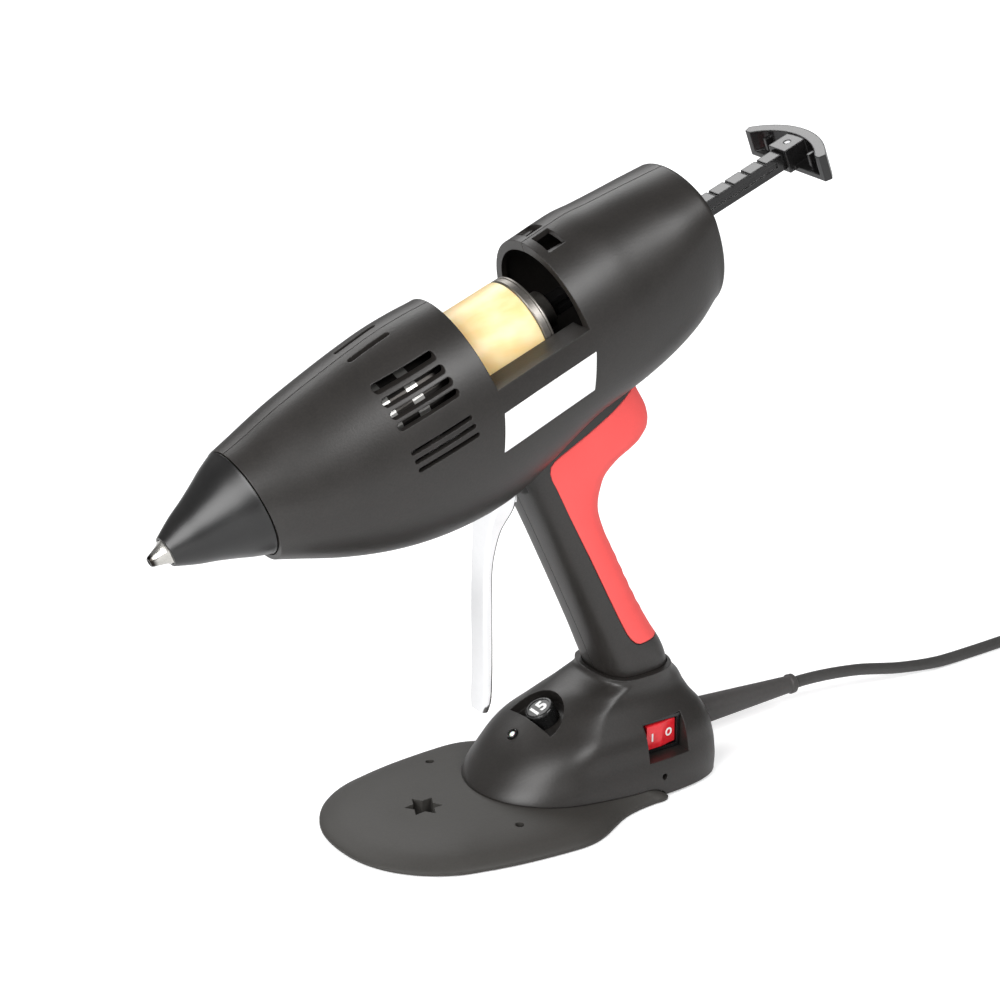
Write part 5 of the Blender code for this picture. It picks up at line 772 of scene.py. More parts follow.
seats = []
for i, (ahead, height, surface) in enumerate(screw_places):
    head = surface - 0.004
    profile = ((-surface + 0.0049, 0.0019), (head, 0.0019), (head, 0.0034), (0.07, 0.0034))
    seats.append(turned(f"screw_seat_{i}", profile, None, cross_barrel_at(ahead, height), 32))
room_outline = rectangle(-0.3, -0.3, 0.3, 0.5)
other = whole.copy()
other.data = whole.data.copy()
bpy.context.scene.collection.objects.link(other)
left_cut = extruded("left_cut", room_outline, -SEAM / 2, 0.3, upright)
right_cut = extruded("right_cut", room_outline, -0.3, SEAM / 2, upright)
left_half = carved(whole, "DIFFERENCE", [left_cut, *seats], "left_half_shell", keep=seats, sharp=30)
right_half = carved(other, "DIFFERENCE", [right_cut, *seats], "right_half_shell", sharp=30)
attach(left_half, "gun_and_stand")
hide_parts("left_shell")
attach(right_half, "gun_and_stand")
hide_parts("right_shell")


# Red grip: soft-touch rubber moulded over the back of both handle halves, flush with them at its edge, with
# faint finger waves low down.
grip_rubber = moulded_plastic(
    "soft_touch_rubber_overmould", "#f4504e", "#f85855", 0.58, 0.0009, 0.00002, 0.0010, 0.015
)
grip_skin = handle_skin("grip_pad_skin", 0.0, grip_rubber, fingers=0.0002)
grip_inside = handle_skin("grip_inside", 0.0026, None)
inward = np.where(grip_share > 0.5, -SEAM, SEAM)
grip_edge = grip_outline + np.column_stack((np.full(len(inward), SEAM), inward))
grip_room = extruded("grip_room", grip_edge, -0.05, 0.05, upright)
barrel_clear = barrel_skin("barrel_clear", -SEAM, None)
grip = carved(grip_skin, "INTERSECT", [grip_room], "grip")
grip = carved(grip, "DIFFERENCE", [grip_inside, barrel_clear], "overmoulded_grip", sharp=30)
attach(grip, "gun_and_stand")
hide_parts("grip_pad")


# Body screws: zinc-plated steel pan heads with a cross recess. They go in from the right half, where their
# heads are sunk, and pull both halves together.
zinc = drawn_metal("bright_zinc_plated_screw", "#b9bcbf", 0.30, 0.0008)
for i, (ahead, height, surface) in enumerate(screw_places):
    seat = surface - 0.0037
    end = -surface + 0.0052
    profile = [(end, 0.0), (end, 0.0014), (end + 0.0006, 0.0016), (seat, 0.0016), (seat, 0.0030)]
    profile += [(seat + 0.0012, 0.0031), (seat + 0.0017, 0.0027)]
    profile += [(seat + 0.0020, 0.0019), (seat + 0.0020, 0.0)]
    screw = turned(f"pan_head_screw_{i + 1}", profile, zinc, cross_barrel_at(ahead, height), 40)
    cross = []
    for long, short in ((0.0016, 0.00035), (0.00035, 0.0016)):
        outline = np.array(rectangle(-long, -short, long, short)) + (ahead, height)
        cross.append(extruded("recess", outline, seat + 0.0010, seat + 0.004, across_barrel))
    screw = carved(screw, "DIFFERENCE", cross, f"pan_head_screw_{i + 1}")
    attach(screw, "gun_and_stand")
    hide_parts(f"shell_screw_{i + 1}")


# Nose cone: a smooth ogive moulded in semi-gloss black over the chamber's front end. Its spigot sits inside
# the barrel's front end.
nose_gloss = moulded_plastic(
    "smooth_black_nose_moulding", "#131313", "#191818", 0.34, 0.0006, 0.00001, 0.0004
)
NOSE_ROWS = ((0.0, 0.0), (0.19, 0.17), (0.38, 0.375), (0.57, 0.565), (0.77, 0.745), (0.90, 0.885), (1.0, 1.0))
NOSE_LENGTH = 0.0373
NOSE_ROOT = 0.02365
NOSE_TIP = 0.0066
NOSE_WALL = 0.0024
along = np.linspace(0.0, 1.0, 48)
drop = curve_through(NOSE_ROWS, along)[:, 0]
nose_back = FRONT_REACH + SEAM
outside = np.column_stack((nose_back + NOSE_LENGTH * along, NOSE_ROOT - (NOSE_ROOT - NOSE_TIP) * drop))
outside[0, 1] -= 0.0004
outside = np.insert(outside, 1, (nose_back + 0.0003, 0.02363), axis=0)
inside = np.column_stack((outside[:, 0], np.maximum(outside[:, 1] - NOSE_WALL, 0.0055)))[::-6]
spigot = ((0.1322, 0.0182), (0.1322, 0.0206), (nose_back, 0.0206))
profile = np.concatenate((spigot, outside, inside, ((nose_back, 0.0182),)))
nose = turned("ogive_nose_cone", profile, nose_gloss, barrel, 112, loop=True)
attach(nose, "gun_and_stand")
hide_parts("nose_cone")


# Nozzle: turned and milled steel, screwed into the chamber's front end. Six flats at its root fade out into
# the cone, and its tip is darkened by heat.
nozzle_steel = drawn_metal("turned_steel_nozzle", "#c4c2bd", 0.26, 0.0009)
tree, shader, plain, spot = reopened(nozzle_steel)
tip_place = tuple(barrel(0.185, 0.0, 0.0))
from_tip = add(tree, "ShaderNodeVectorMath", {0: spot, 1: tip_place}, operation="DISTANCE").outputs["Value"]
burnt = ranged(tree, from_tip, 0.0, 1.0, 0.0026, 0.0040)
feed(tree, shader, {"Base Color": mixed_tones(tree, burnt, linear("#2a2724"), plain)})
turn = np.linspace(0.0, math.tau, 96, endpoint=False)
flats = np.cos(math.pi / 6) / np.cos((turn + math.pi / 6) % (math.pi / 3) - math.pi / 6)
rings = []
for ahead, reach, share in (
    (0.1637, 0.0031, 0.0), (0.1707, 0.0031, 0.0), (0.1707, 0.0052, 1.0), (0.1772, 0.0052, 1.0),
    (0.1780, 0.0046, 0.75), (0.1795, 0.0040, 0.5), (0.1815, 0.0033, 0.2), (0.1836, 0.0026, 0.0),
    (0.1846, 0.0022, 0.0), (0.1850, 0.0018, 0.0), (0.1850, 0.0009, 0.0), (0.1842, 0.0008, 0.0),
    (0.1820, 0.0008, 0.0),
):
    spread = reach * (1.0 - share + share * flats / np.cos(math.pi / 6))
    rings.append(barrel(ahead, spread * np.cos(turn), spread * np.sin(turn)))
nozzle = skin("milled_nozzle", np.array(rings), nozzle_steel, sharp=30)
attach(nozzle, "gun_and_stand")
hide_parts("nozzle")


def dress(material, *names):
    """Gives CAD nodes a finish."""
    for name in names:
        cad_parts[name].data.materials.clear()
        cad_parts[name].data.materials.append(material)


# Melt chamber and what holds it: cast aluminium whose colour is painted with two bright highlight bands where
# it shows through the vents, and painted shade on the rest of it; two ceramic heaters in its saddle, a
# pressed steel support at the front and a dark phenolic sleeve at the inlet.
cast_metal = drawn_metal("cast_aluminium_chamber", "#bdbcb9", 0.38, 0.0014)
tree, shader, plain, spot = reopened(cast_metal)
to_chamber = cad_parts["melt_chamber"].matrix_world.inverted()
chamber_zero = to_chamber @ Vector(barrel(0.0, 0.0, 0.0))
chamber_axis = to_chamber @ Vector(barrel(1.0, 0.0, 0.0)) - chamber_zero
# Painted highlight and painted shade: along the axis, over the vents' stretch, the metal's own colour shows
# in two bright bands, and the dark shade colour covers the rest of the chamber.
away = add(tree, "ShaderNodeVectorMath", {0: spot, 1: tuple(chamber_zero)}, operation="SUBTRACT").outputs[0]
ahead = add(tree, "ShaderNodeVectorMath", {0: away, 1: tuple(chamber_axis)}, operation="DOT_PRODUCT")
bands = ranged(tree, ahead.outputs["Value"], 0.0, 1.0, 0.050, 0.085)
painted_light_bands = add(tree, "ShaderNodeValToRGB", {"Fac": bands})
painted_light_bands.color_ramp.interpolation = "CONSTANT"
painted_light_bands.color_ramp.elements[0].color = (0.0, 0.0, 0.0, 1.0)
painted_light_bands.color_ramp.elements[1].position = 0.27
painted_light_bands.color_ramp.elements[1].color = (1.0, 1.0, 1.0, 1.0)
for place, level in ((0.42, 0.0), (0.66, 1.0), (0.83, 0.0)):
    painted_light_bands.color_ramp.elements.new(place).color = (level, level, level, 1.0)
feed(tree, shader, {"Base Color": mixed_tones(tree, painted_light_bands.outputs["Color"], linear("#3a3836"), plain)})
dress(cast_metal, "melt_chamber")
ceramic = waxy_finish("glazed_steatite_heater", "#dcd9d2", 0.35, 0.0020)
dress(ceramic, "heater_left", "heater_right")
pressed_steel = drawn_metal("pressed_steel", "#9a9a9b", 0.36, 0.0010)
dress(pressed_steel, "front_support", "pull_pin", "feed_pawl", "pawl_pin", "drive_pin", "trigger_pin")
dress(pressed_steel, "trigger_spring", "potentiometer")
phenolic = waxy_finish("pressed_phenolic_sleeve", "#2c2723", 0.55, 0.0012)
dress(phenolic, "inlet_sleeve")

# Glue slug: cast ethylene vinyl acetate, waxy and slightly translucent, with soft edges and faint flow
# lines. It lies loose in the loading bay, ahead of the piston.
glue, tree, shader, spot = new_material("cast_hot_melt_adhesive")
lengthwise = {"Vector": spot, "Rotation": (0.0, -TILT, 0.0), "Scale": (0.18, 1.0, 1.0)}
streak = noise(tree, add(tree, "ShaderNodeMapping", lengthwise).outputs["Vector"], 160.0, 4.0)
cloud = noise(tree, spot, 70.0)
milky = add(tree, "ShaderNodeMath", {0: streak, 1: cloud}, operation="MULTIPLY").outputs["Value"]
tone = add(tree, "ShaderNodeValToRGB", {"Fac": milky})
tone.color_ramp.elements[0].position = 0.12
tone.color_ramp.elements[1].position = 0.42
tone.color_ramp.elements[0].color = linear("#f3cf8e")
tone.color_ramp.elements[1].color = linear("#fce7ba")
surface = {
    "Base Color": tone.outputs["Color"],
    "Normal": bumped(tree, streak, 0.25, 0.0002),
    "Roughness": 0.36,
    "IOR": 1.48,
    "Subsurface Weight": 0.45,
    "Subsurface Radius": (1.0, 0.62, 0.28),
    "Subsurface Scale": 0.005,
}
feed(tree, shader, surface)
SLUG_LENGTH = 0.044
SLUG_RADIUS = 0.0215
SLUG_EDGE = 0.0008
arc = np.linspace(0.0, math.pi / 2, 6)
edge = np.column_stack((SLUG_EDGE * (1.0 - np.sin(arc)), SLUG_RADIUS - SLUG_EDGE * (1.0 - np.cos(arc))))
far_edge = np.column_stack((SLUG_LENGTH - edge[:, 0], edge[:, 1]))
profile = np.concatenate((((0.0, 0.0),), edge[::-1], far_edge, ((SLUG_LENGTH, 0.0),)))
slug = turned("cast_glue_slug", profile, glue, barrel, 112)
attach(slug, "glue_slug")
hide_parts("glue_slug")

# Plunger: a turned alloy piston with a scraper groove, a square black rod with rack teeth, and a half-moon
# pull handle that a steel pin holds on the rod's rear end.
piston_metal = drawn_metal("dull_turned_alloy_piston", "#8b8782", 0.42, 0.0008)
profile = (
    (-0.0003, 0.0), (-0.0003, 0.0209), (-0.0008, 0.0214), (-0.0028, 0.0214), (-0.0030, 0.0210),
    (-0.0035, 0.0210), (-0.0037, 0.0214), (-0.0044, 0.0214), (-0.0048, 0.0210), (-0.0048, 0.0095),
    (-0.0054, 0.0090), (-0.0142, 0.0090), (-0.0148, 0.0084), (-0.0148, 0.0062), (-0.0088, 0.0062),
    (-0.0088, 0.0),
)
piston = turned("turned_piston", profile, piston_metal, barrel, 96, sharp=28)
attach(piston, "plunger")
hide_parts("piston")
pull_black = moulded_plastic("injection_moulded_acetal", "#121212", "#181717", 0.20, 0.0008, 0.00001, 0.0009)
dress(pull_black, "plunger_rod", "pull_handle")
feed_alloy = drawn_metal("die_cast_feed_carriage", "#8d8b88", 0.45, 0.0010)
dress(feed_alloy, "feed_carriage")
dress(nylon, "rod_guide")


# Label: a blank plate of coated white vinyl stuck to the barrel's left side, its ends upright. It follows
# the rounded skin.


def barrel_side(ahead, height, clear):
    """Points on the barrel's left skin at places along it: the half width of the rounded section there."""
    table = curve_through(BARREL_ROWS, ahead.ravel())
    half_width, crest, keel, widest, square, _ = (column.reshape(ahead.shape) for column in table.T)
    middle = widest * BODY_RADIUS
    upper = height >= middle
    deep = np.where(upper, crest * BODY_RADIUS - middle, middle - keel * BODY_RADIUS)
    power = np.where(upper, 2.0, square)
    part = np.clip(np.abs(height - middle) / deep, 0.0, 1.0)
    return barrel(ahead, -half_width * BODY_RADIUS * (1.0 - part**power) ** (1.0 / power) - clear, height)


vinyl, tree, shader, spot = new_material("gloss_laminated_white_vinyl")
peel = noise(tree, spot, 600.0)
surface = {
    "Base Color": mixed_tones(tree, peel, linear("#efefee"), linear("#fafafa")),
    "Normal": bumped(tree, peel, 0.15, 0.00003),
    "Roughness": 0.35,
}
feed(tree, shader, surface)
LABEL_WIDE = 0.0485
LABEL_TALL = 0.0166
COLUMNS = 40
ROWS = 14
across, down = np.meshgrid(np.linspace(0.0, 1.0, COLUMNS), np.linspace(0.0, 1.0, ROWS))
drop = LABEL_TALL * down
label_ahead = 0.0355 + drop * math.sin(TILT) - LABEL_WIDE * across
label_height = -0.0085 - drop * math.cos(TILT)
faces = [barrel_side(label_ahead, label_height, clear) for clear in (0.0002, 0.0006)]
rim = [np.s_[0, :], np.s_[1:-1, -1], np.s_[-1, ::-1], np.s_[-2:0:-1, 0]]
loops = [np.concatenate([face[part] for part in rim]) for face in faces]
points = np.concatenate((faces[0].reshape(-1, 3), faces[1].reshape(-1, 3), loops[0], loops[1]))
index = np.arange(ROWS * COLUMNS).reshape(ROWS, COLUMNS)
quads = np.stack((index[:-1, :-1], index[:-1, 1:], index[1:, 1:], index[1:, :-1]), axis=-1).reshape(-1, 4)
edge = 2 * index.size + np.arange(len(loops[0]))
sides = np.stack((edge, np.roll(edge, -1), np.roll(edge, -1) + len(edge), edge + len(edge)), axis=-1)
mesh = bpy.data.meshes.new("blank_label")
mesh.from_pydata(points.tolist(), [], quads.tolist() + (quads + index.size).tolist() + sides.tolist())
label = settle("blank_label", mesh, vinyl, 40)
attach(label, "gun_and_stand")
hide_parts("label_plate")


# Trigger: a channel pressed from 1.6 mm steel and bright chrome-plated, its two ears bored for the pivot and
# the drive pin.


BLADE_DROP = 0.108


def channel(front, back, half):
    """Cross-section of the pressed channel: a wide front with two round outer corners, and two flanges rolled
    inwards at the rear to a round edge; the inner side keeps one sheet's distance from the outer one."""
    thick = 0.0016
    corner = 0.0022
    roll = 0.0024
    roll_end = math.radians(70)
    turn = np.linspace(0.0, math.pi / 2, 7)
    bend = np.linspace(0.0, roll_end, 7)
    lip = turn * 2.0 - math.pi / 2 - roll_end
    unit = np.column_stack((1.0 - np.sin(turn), np.cos(turn) - 1.0))
    outer = corner * unit + (front, half)
    inner = (corner - thick) * unit + (front + thick, half - thick)
    centre = np.array((back - roll, half - roll))
    rolled = np.column_stack((np.sin(bend), np.cos(bend)))
    edge = centre + (roll - thick / 2) * rolled[-1] + thick / 2 * np.column_stack((np.cos(lip), np.sin(lip)))
    side = np.concatenate(
        (inner[::-1], centre + (roll - thick) * rolled, edge[1:-1], centre + roll * rolled[::-1], outer)
    )
    return np.concatenate((side, (side * (1.0, -1.0))[::-1]))


# Polished chrome: a mirror with a slow waviness left by the press.
chrome, tree, shader, spot = new_material("chrome_plated_pressed_steel")
wave = noise(tree, spot, 40.0, 1.0)
haze = noise(tree, spot, 240.0, 4.0)
surface = {
    "Base Color": mixed_tones(tree, haze, linear("#f0f0f1"), linear("#f7f7f8")),
    "Roughness": ranged(tree, haze, 0.05, 0.10),
    "Normal": bumped(tree, wave, 0.12, 0.0005),
    "Metallic": 1.0,
}
feed(tree, shader, surface)
# Rows down the blade: share of its drop, then how far it stands forward, its flanges' depth and its width.
BLADE_ROWS = (
    (0.060, 0.60, 1.00, 1.00), (0.130, 0.70, 0.95, 1.00), (0.230, 0.80, 0.55, 0.74),
    (0.324, 0.88, 0.36, 0.66), (0.574, 0.95, 0.32, 0.64), (0.741, 0.93, 0.30, 0.64),
    (0.870, 0.93, 0.28, 0.64), (0.965, 0.98, 0.26, 0.62), (1.000, 1.02, 0.24, 0.52),
)
down = np.concatenate((np.linspace(0.060, 0.965, 60), np.linspace(0.97, 1.0, 8)))
rings = []
for share, (forward, flange, narrow) in zip(down, curve_through(BLADE_ROWS, down)):
    front = -0.011 * forward
    outline = channel(front, front + 0.0016 + 0.0095 * flange, 0.010 * narrow)
    level = np.full(len(outline), PIVOT[1] - BLADE_DROP * share)
    rings.append(np.column_stack((PIVOT[0] + outline[:, 0], outline[:, 1], level)))
blade = skin("trigger_blade", to_room(np.array(rings)), chrome)
arm = np.array((-0.004626, 0.021507))
turn = np.linspace(math.radians(-10), math.radians(190), 14)
tip = arm + 0.0036 * np.column_stack((np.cos(turn), np.sin(turn)))
turn = np.linspace(math.radians(-60), math.radians(8), 7)
boss = 0.0052 * np.column_stack((np.cos(turn), np.sin(turn)))
root = ((-0.0064, -0.0119), (0.0029, -0.0119))
ear_outline = np.concatenate((root, boss, tip, ((-0.0052, 0.0012), (-0.0064, -0.0050)))) + PIVOT
EAR_INSIDE = 0.00855
EAR_OUTSIDE = 0.00985
ears = [
    extruded(f"ear_{side}", ear_outline, side * EAR_INSIDE, side * EAR_OUTSIDE, upright) for side in (-1, 1)
]


def cross_stand_at(x, z):
    """Places a body turned on a line across the stand."""
    return lambda along, across, rise: to_room(np.stack((x + across, along, z + rise), axis=-1))


bores = [
    round_bar("pin_bore", -0.02, 0.02, 0.0025, cross_stand_at(*PIVOT)),
    round_bar("drive_bore", -0.02, 0.02, 0.0019, cross_stand_at(*(PIVOT + arm))),
]
trigger = carved(blade, "UNION", ears, "trigger")
trigger = carved(trigger, "DIFFERENCE", bores, "chromed_trigger", sharp=28)
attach(trigger, "trigger")
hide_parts("trigger")


# Stand plate: a crowned moulding of glass-filled nylon, paler than the body, with a star hole for the nozzle,
# two bench holes and four posts for the control board; four rubber pads lift it off the bench.
plate_nylon = moulded_plastic("matt_grained_stand_moulding", "#302e2b", "#373532", 0.58, 0.0010, 0.00004)
PLATE_LENGTH = 0.145
PLATE_HALF = 0.0561
PLATE_FRONT = -0.043
PLATE_MIDDLE = 0.036
PLATE_LOW = 0.0008
PLATE_CROWN = 0.0085
PLATE_EDGE = np.array(
    (
        (0.000, 0.000), (0.003, 0.135), (0.014, 0.285), (0.040, 0.450), (0.080, 0.600), (0.140, 0.742),
        (0.210, 0.845), (0.297, 0.908), (0.390, 0.955), (0.470, 0.980), (0.560, 0.997), (0.610, 1.000),
        (0.653, 0.986), (0.703, 0.938), (0.756, 0.861), (0.815, 0.778), (0.886, 0.726), (0.948, 0.708),
        (0.990, 0.700), (1.000, 0.680),
    )
)
PLATE_EDGE = PLATE_EDGE * (PLATE_LENGTH, PLATE_HALF) + (PLATE_FRONT, 0.0)
walked = np.concatenate(((0.0,), np.cumsum(np.linalg.norm(np.diff(PLATE_EDGE, axis=0), axis=1))))
edge = curve_through(np.column_stack((walked, PLATE_EDGE)), np.linspace(0.0, walked[-1], 110))
edge[0, 1] = 0.0
plate_outline = np.concatenate((edge, (edge * (1.0, -1.0))[:0:-1]))
# Rows up the crown: place, share of the outline left, and share of the crown's height.
CROWN_ROWS = (
    (0, 1.0, 0.0), (1, 1.0, 0.15), (2, 0.955, 0.38), (3, 0.86, 0.68), (4, 0.70, 0.89), (5, 0.46, 1.0),
)


def plate_skin(name, grow, low, material):
    """The plate's skin: its outline shrunk towards a middle point while its level rises along the crown."""
    place = np.concatenate(((0.0, 0.85, 0.97), np.linspace(1.02, 5.0, 26)))
    table = curve_through(CROWN_ROWS, place)
    table[:2, 0] = 1.0
    table[2, 0] = 0.998
    scale = table[:, 0, None]
    level = PLATE_LOW + PLATE_CROWN * table[:, 1, None] + grow
    level[0] = low
    x = PLATE_MIDDLE + (plate_outline[None, :, 0] - PLATE_MIDDLE) * (scale + grow * 12.0)
    y = plate_outline[None, :, 1] * (scale + grow * 12.0)
    return skin(name, to_room(np.stack((x, y, level + 0.0 * x), axis=-1)), material, sharp=40)


def standing_at(x, y):
    """Places a body turned on an upright line."""
    return lambda up, a, b: to_room(np.stack((x + a, y + b, up), axis=-1))


plate = plate_skin("plate", 0.0, PLATE_LOW, plate_nylon)
posts = [
    round_bar(f"post_{dx}_{dy}", 0.0046, 0.0133, 0.0026, standing_at(0.083 + dx * 0.0154, dy * 0.0194), 24)
    for dx in (-1, 1)
    for dy in (-1, 1)
]
STAR_REACH = 0.0084
turn = math.radians(-25.41) + math.tau * np.arange(12) / 12
reach = np.where(np.arange(12) % 2 == 0, STAR_REACH, STAR_REACH * 0.58)
star = np.column_stack((reach * np.cos(turn), reach * np.sin(turn)))
cuts = [extruded("star_hole", star, -0.004, 0.0133, flat)]
for side in (-1, 1):
    cuts.append(round_bar("bench_hole", -0.004, 0.0133, 0.0019, standing_at(0.0256, side * 0.0359)))
    cuts.append(round_bar("pad_pocket", -0.004, 0.0023, 0.0063, standing_at(-0.018, side * 0.026)))
plate = carved(plate, "UNION", posts, "plate")
plate = carved(plate, "DIFFERENCE", cuts, "crowned_stand_plate", sharp=32)
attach(plate, "gun_and_stand")
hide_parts("stand_plate")
pad_rubber = waxy_finish("die_cut_rubber_pad", "#1c1c1c", 0.85, 0.0012)
dress(pad_rubber, "foot_pad_1", "foot_pad_2", "foot_pad_3", "foot_pad_4")


# Base housing: a dome of the body's nylon over the plate's rear half, drawn up to a collar round the handle's
# foot; a half-moon pocket holds the dial, and the switch sits deep in its left side.
DOME_FRONT = 0.026
DOME_LENGTH = 0.1145
DOME_HALF = 0.0363
DOME_FOOT = 0.0015
DOME_RISE = 0.0505
# Rows up the dome: share of its rise, how far the front and the rear are drawn in, half width, place of the
# widest line, and the powers of the front and the rear half.
HOUSING_ROWS = (
    (0.000, 0.000, 0.006, 1.000, 0.314, 2.0, 4.6), (0.168, 0.000, 0.000, 0.990, 0.314, 2.0, 4.6),
    (0.327, 0.050, 0.000, 0.937, 0.335, 2.0, 4.4), (0.590, 0.171, 0.031, 0.820, 0.395, 1.9, 3.6),
    (0.683, 0.228, 0.062, 0.715, 0.430, 1.8, 3.3), (0.774, 0.285, 0.083, 0.620, 0.470, 1.7, 3.0),
    (0.871, 0.375, 0.105, 0.560, 0.550, 1.7, 2.9), (0.960, 0.505, 0.139, 0.550, 0.625, 2.1, 2.8),
    (1.000, 0.520, 0.148, 0.555, 0.630, 2.5, 2.8),
)


def dome_skin(name, share, inset, around, material, foot=0.0):
    """The dome's skin: level rings, each half an oval in front of its widest line and half behind, whose two
    powers differ."""
    front_cut, rear_cut, half_width, widest, front_power, rear_power = (
        column[:, None] for column in curve_through(HOUSING_ROWS, share).T
    )
    turn = np.linspace(0.0, math.tau, around, endpoint=False)[None, :]
    middle = DOME_FRONT + widest * DOME_LENGTH
    rear = DOME_FRONT + (1.0 - rear_cut) * DOME_LENGTH - inset
    front = DOME_FRONT + front_cut * DOME_LENGTH + inset
    behind = np.cos(turn) > 0.0
    depth = np.where(behind, rear - middle, middle - front)
    power = np.where(behind, rear_power, front_power)
    reach = polar_reach(turn, depth, half_width * DOME_HALF - inset, power)
    level = DOME_FOOT + DOME_RISE * share[:, None] + 0.0 * turn
    level[0] -= foot
    points = np.stack((middle + reach * np.cos(turn), reach * np.sin(turn), level), axis=-1)
    return skin(name, to_room(points), material)


dome = dome_skin("dome", np.linspace(0.0, 1.0, 64), 0.0, 128, nylon)
dome_room = dome_skin("dome_room", np.linspace(0.0, 0.9406, 40), 0.003, 72, None, foot=0.004)


DIAL_TILT = math.radians(28)
DIAL_PLACE = (0.0592, 0.0406)


def dial_place(a, b, up):
    """Points of the dial's tilted frame: the first value climbs rearwards along the pocket's floor."""
    c = math.cos(DIAL_TILT)
    s = math.sin(DIAL_TILT)
    return to_room(np.stack((DIAL_PLACE[0] + a * c - up * s, b, DIAL_PLACE[1] + a * s + up * c), axis=-1))


def dial_axis(along, across, rise):
    return dial_place(across, rise, along)


POCKET_RADIUS = 0.016
POCKET_MIDDLE = -0.0058
POCKET_LIP = -0.0070


def half_moon(grow):
    """Half-moon outline: a circle's arc cut off by a straight front lip."""
    radius = POCKET_RADIUS + grow
    limit = math.acos((POCKET_LIP - grow - POCKET_MIDDLE) / radius)
    turn = np.linspace(limit, -limit, 48)
    return np.column_stack((POCKET_MIDDLE + radius * np.cos(turn), radius * np.sin(turn)))


dial_block = extruded("dial_block", half_moon(0.0021), -0.0101, 0.016, dial_place)
SWITCH_OUTSIDE = -0.0403
switch_room = rectangle(0.0935, 0.0158, 0.1185, 0.0352)
switch_block = extruded("switch_block", switch_room, SWITCH_OUTSIDE, -0.0196, upright)
dome_room = carved(dome_room, "DIFFERENCE", [dial_block, switch_block], "dome_room")


LAMP_TILT = math.radians(36)
LAMP_PLACE = (0.0456, 0.0313)


def lamp_axis(along, across, rise):
    """Points of the lamp's frame, tilted with the dome's slope."""
    c = math.cos(LAMP_TILT)
    s = math.sin(LAMP_TILT)
    x = LAMP_PLACE[0] + across * c - along * s
    return to_room(np.stack((x, rise, LAMP_PLACE[1] + across * s + along * c), axis=-1))


relief_steps = ((0.1312, 0.0093), (0.1375, 0.0093), (0.1375, 0.0073), (0.1445, 0.0073))
switch_opening = rectangle(0.0950, 0.0173, 0.1170, 0.0337)
cuts = [
    dome_room,
    plate_skin("plate_clear", SEAM, -0.004, None),
    handle_skin("handle_clear", -SEAM, None, foot=0.004),
    extruded("dial_pocket", half_moon(0.0), -0.0080, 0.016, dial_place),
    round_bar("shaft_hole", -0.014, 0.0, 0.0033, dial_axis),
    extruded("switch_hole", switch_opening, SWITCH_OUTSIDE, -0.0126, upright),
    turned("relief_hole", relief_steps, None, along_flex, 48),
    round_bar("lamp_hole", -0.014, 0.007, 0.0028, lamp_axis),
    round_bar("tongue_hole", -0.0726, -0.0303, 0.0014, cross_stand_at(0.102, 0.0100), 24),
]
dome = carved(dome, "DIFFERENCE", cuts, "domed_base_housing", sharp=30)
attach(dome, "gun_and_stand")
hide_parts("base_housing")
dress(nylon, "base_cover")

# Control board: green glass-epoxy laminate, sawn from sheet, that rests on the four posts of the plate
# inside the dome.
board = waxy_finish("glass_epoxy_board", "#1d5a35", 0.40, 0.0010)
dress(board, "control_board")

# Dial: a small black moulded knob with a fluted skirt, pushed on the potentiometer's shaft. Its setting is
# printed on its face in plain white digits.
knob_gloss = waxy_finish("moulded_black_knob", "#161616", 0.28, 0.0020)
KNOB_STEPS = 144
turn = np.linspace(0.0, math.tau, KNOB_STEPS, endpoint=False)
flute = 1.0 - 0.025 * (0.5 + 0.5 * np.cos(turn * 18))
rings = []
for up, reach, share in (
    (-0.0077, 0.0066, 1.0), (-0.0014, 0.0066, 1.0), (-0.0008, 0.0065, 0.6), (-0.0003, 0.0062, 0.2),
    (0.0, 0.0058, 0.0), (0.0, 0.0052, 0.0), (-0.0004, 0.0050, 0.0), (-0.0004, 0.0004, 0.0),
):
    spread = reach * (1.0 - share + share * flute)
    rings.append(dial_place(spread * np.cos(turn), spread * np.sin(turn), np.full(KNOB_STEPS, up)))
knob = skin("fluted_dial_knob", np.array(rings), knob_gloss, sharp=40)
knob_bore = round_bar("knob_bore", -0.0110, -0.0029, 0.0033, dial_axis)
knob = carved(knob, "DIFFERENCE", [knob_bore], "fluted_dial_knob", sharp=40)
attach(knob, "dial")
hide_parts("dial_knob")


white_ink = waxy_finish("pad_printed_white_digits", "#f1f1ee", 0.5, 0.0010)
INK_THICKNESS = 0.0002


def written(name, text, size, place):
    """Plain characters as a thin plate of ink: flat letters given a thickness and centred, then put in
    place."""
    curve = bpy.data.curves.new(name, "FONT")
    curve.body = text
    curve.size = size
    curve.align_x = "CENTER"
    curve.align_y = "CENTER"
    curve.extrude = INK_THICKNESS / 2
    curve.offset = size * 0.03
    made = bpy.data.objects.new(name, curve)
    bpy.context.scene.collection.objects.link(made)
    bpy.context.view_layer.update()
    mesh = bpy.data.meshes.new_from_object(made.evaluated_get(bpy.context.evaluated_depsgraph_get()))
    bpy.data.objects.remove(made)
    points = np.empty(len(mesh.vertices) * 3)
    mesh.vertices.foreach_get("co", points)
    points = points.reshape(-1, 3)
    points[:, :2] -= (points[:, :2].min(axis=0) + points[:, :2].max(axis=0)) / 2
    mesh.vertices.foreach_set("co", place(points[:, 0], points[:, 1], points[:, 2]).ravel())
    mesh.update()
    return settle(name, mesh, white_ink, 30)


digits = written("dial_digits", "15", 0.0082, lambda a, b, up: dial_place(a, b, up - 0.0003))
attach(digits, "dial")

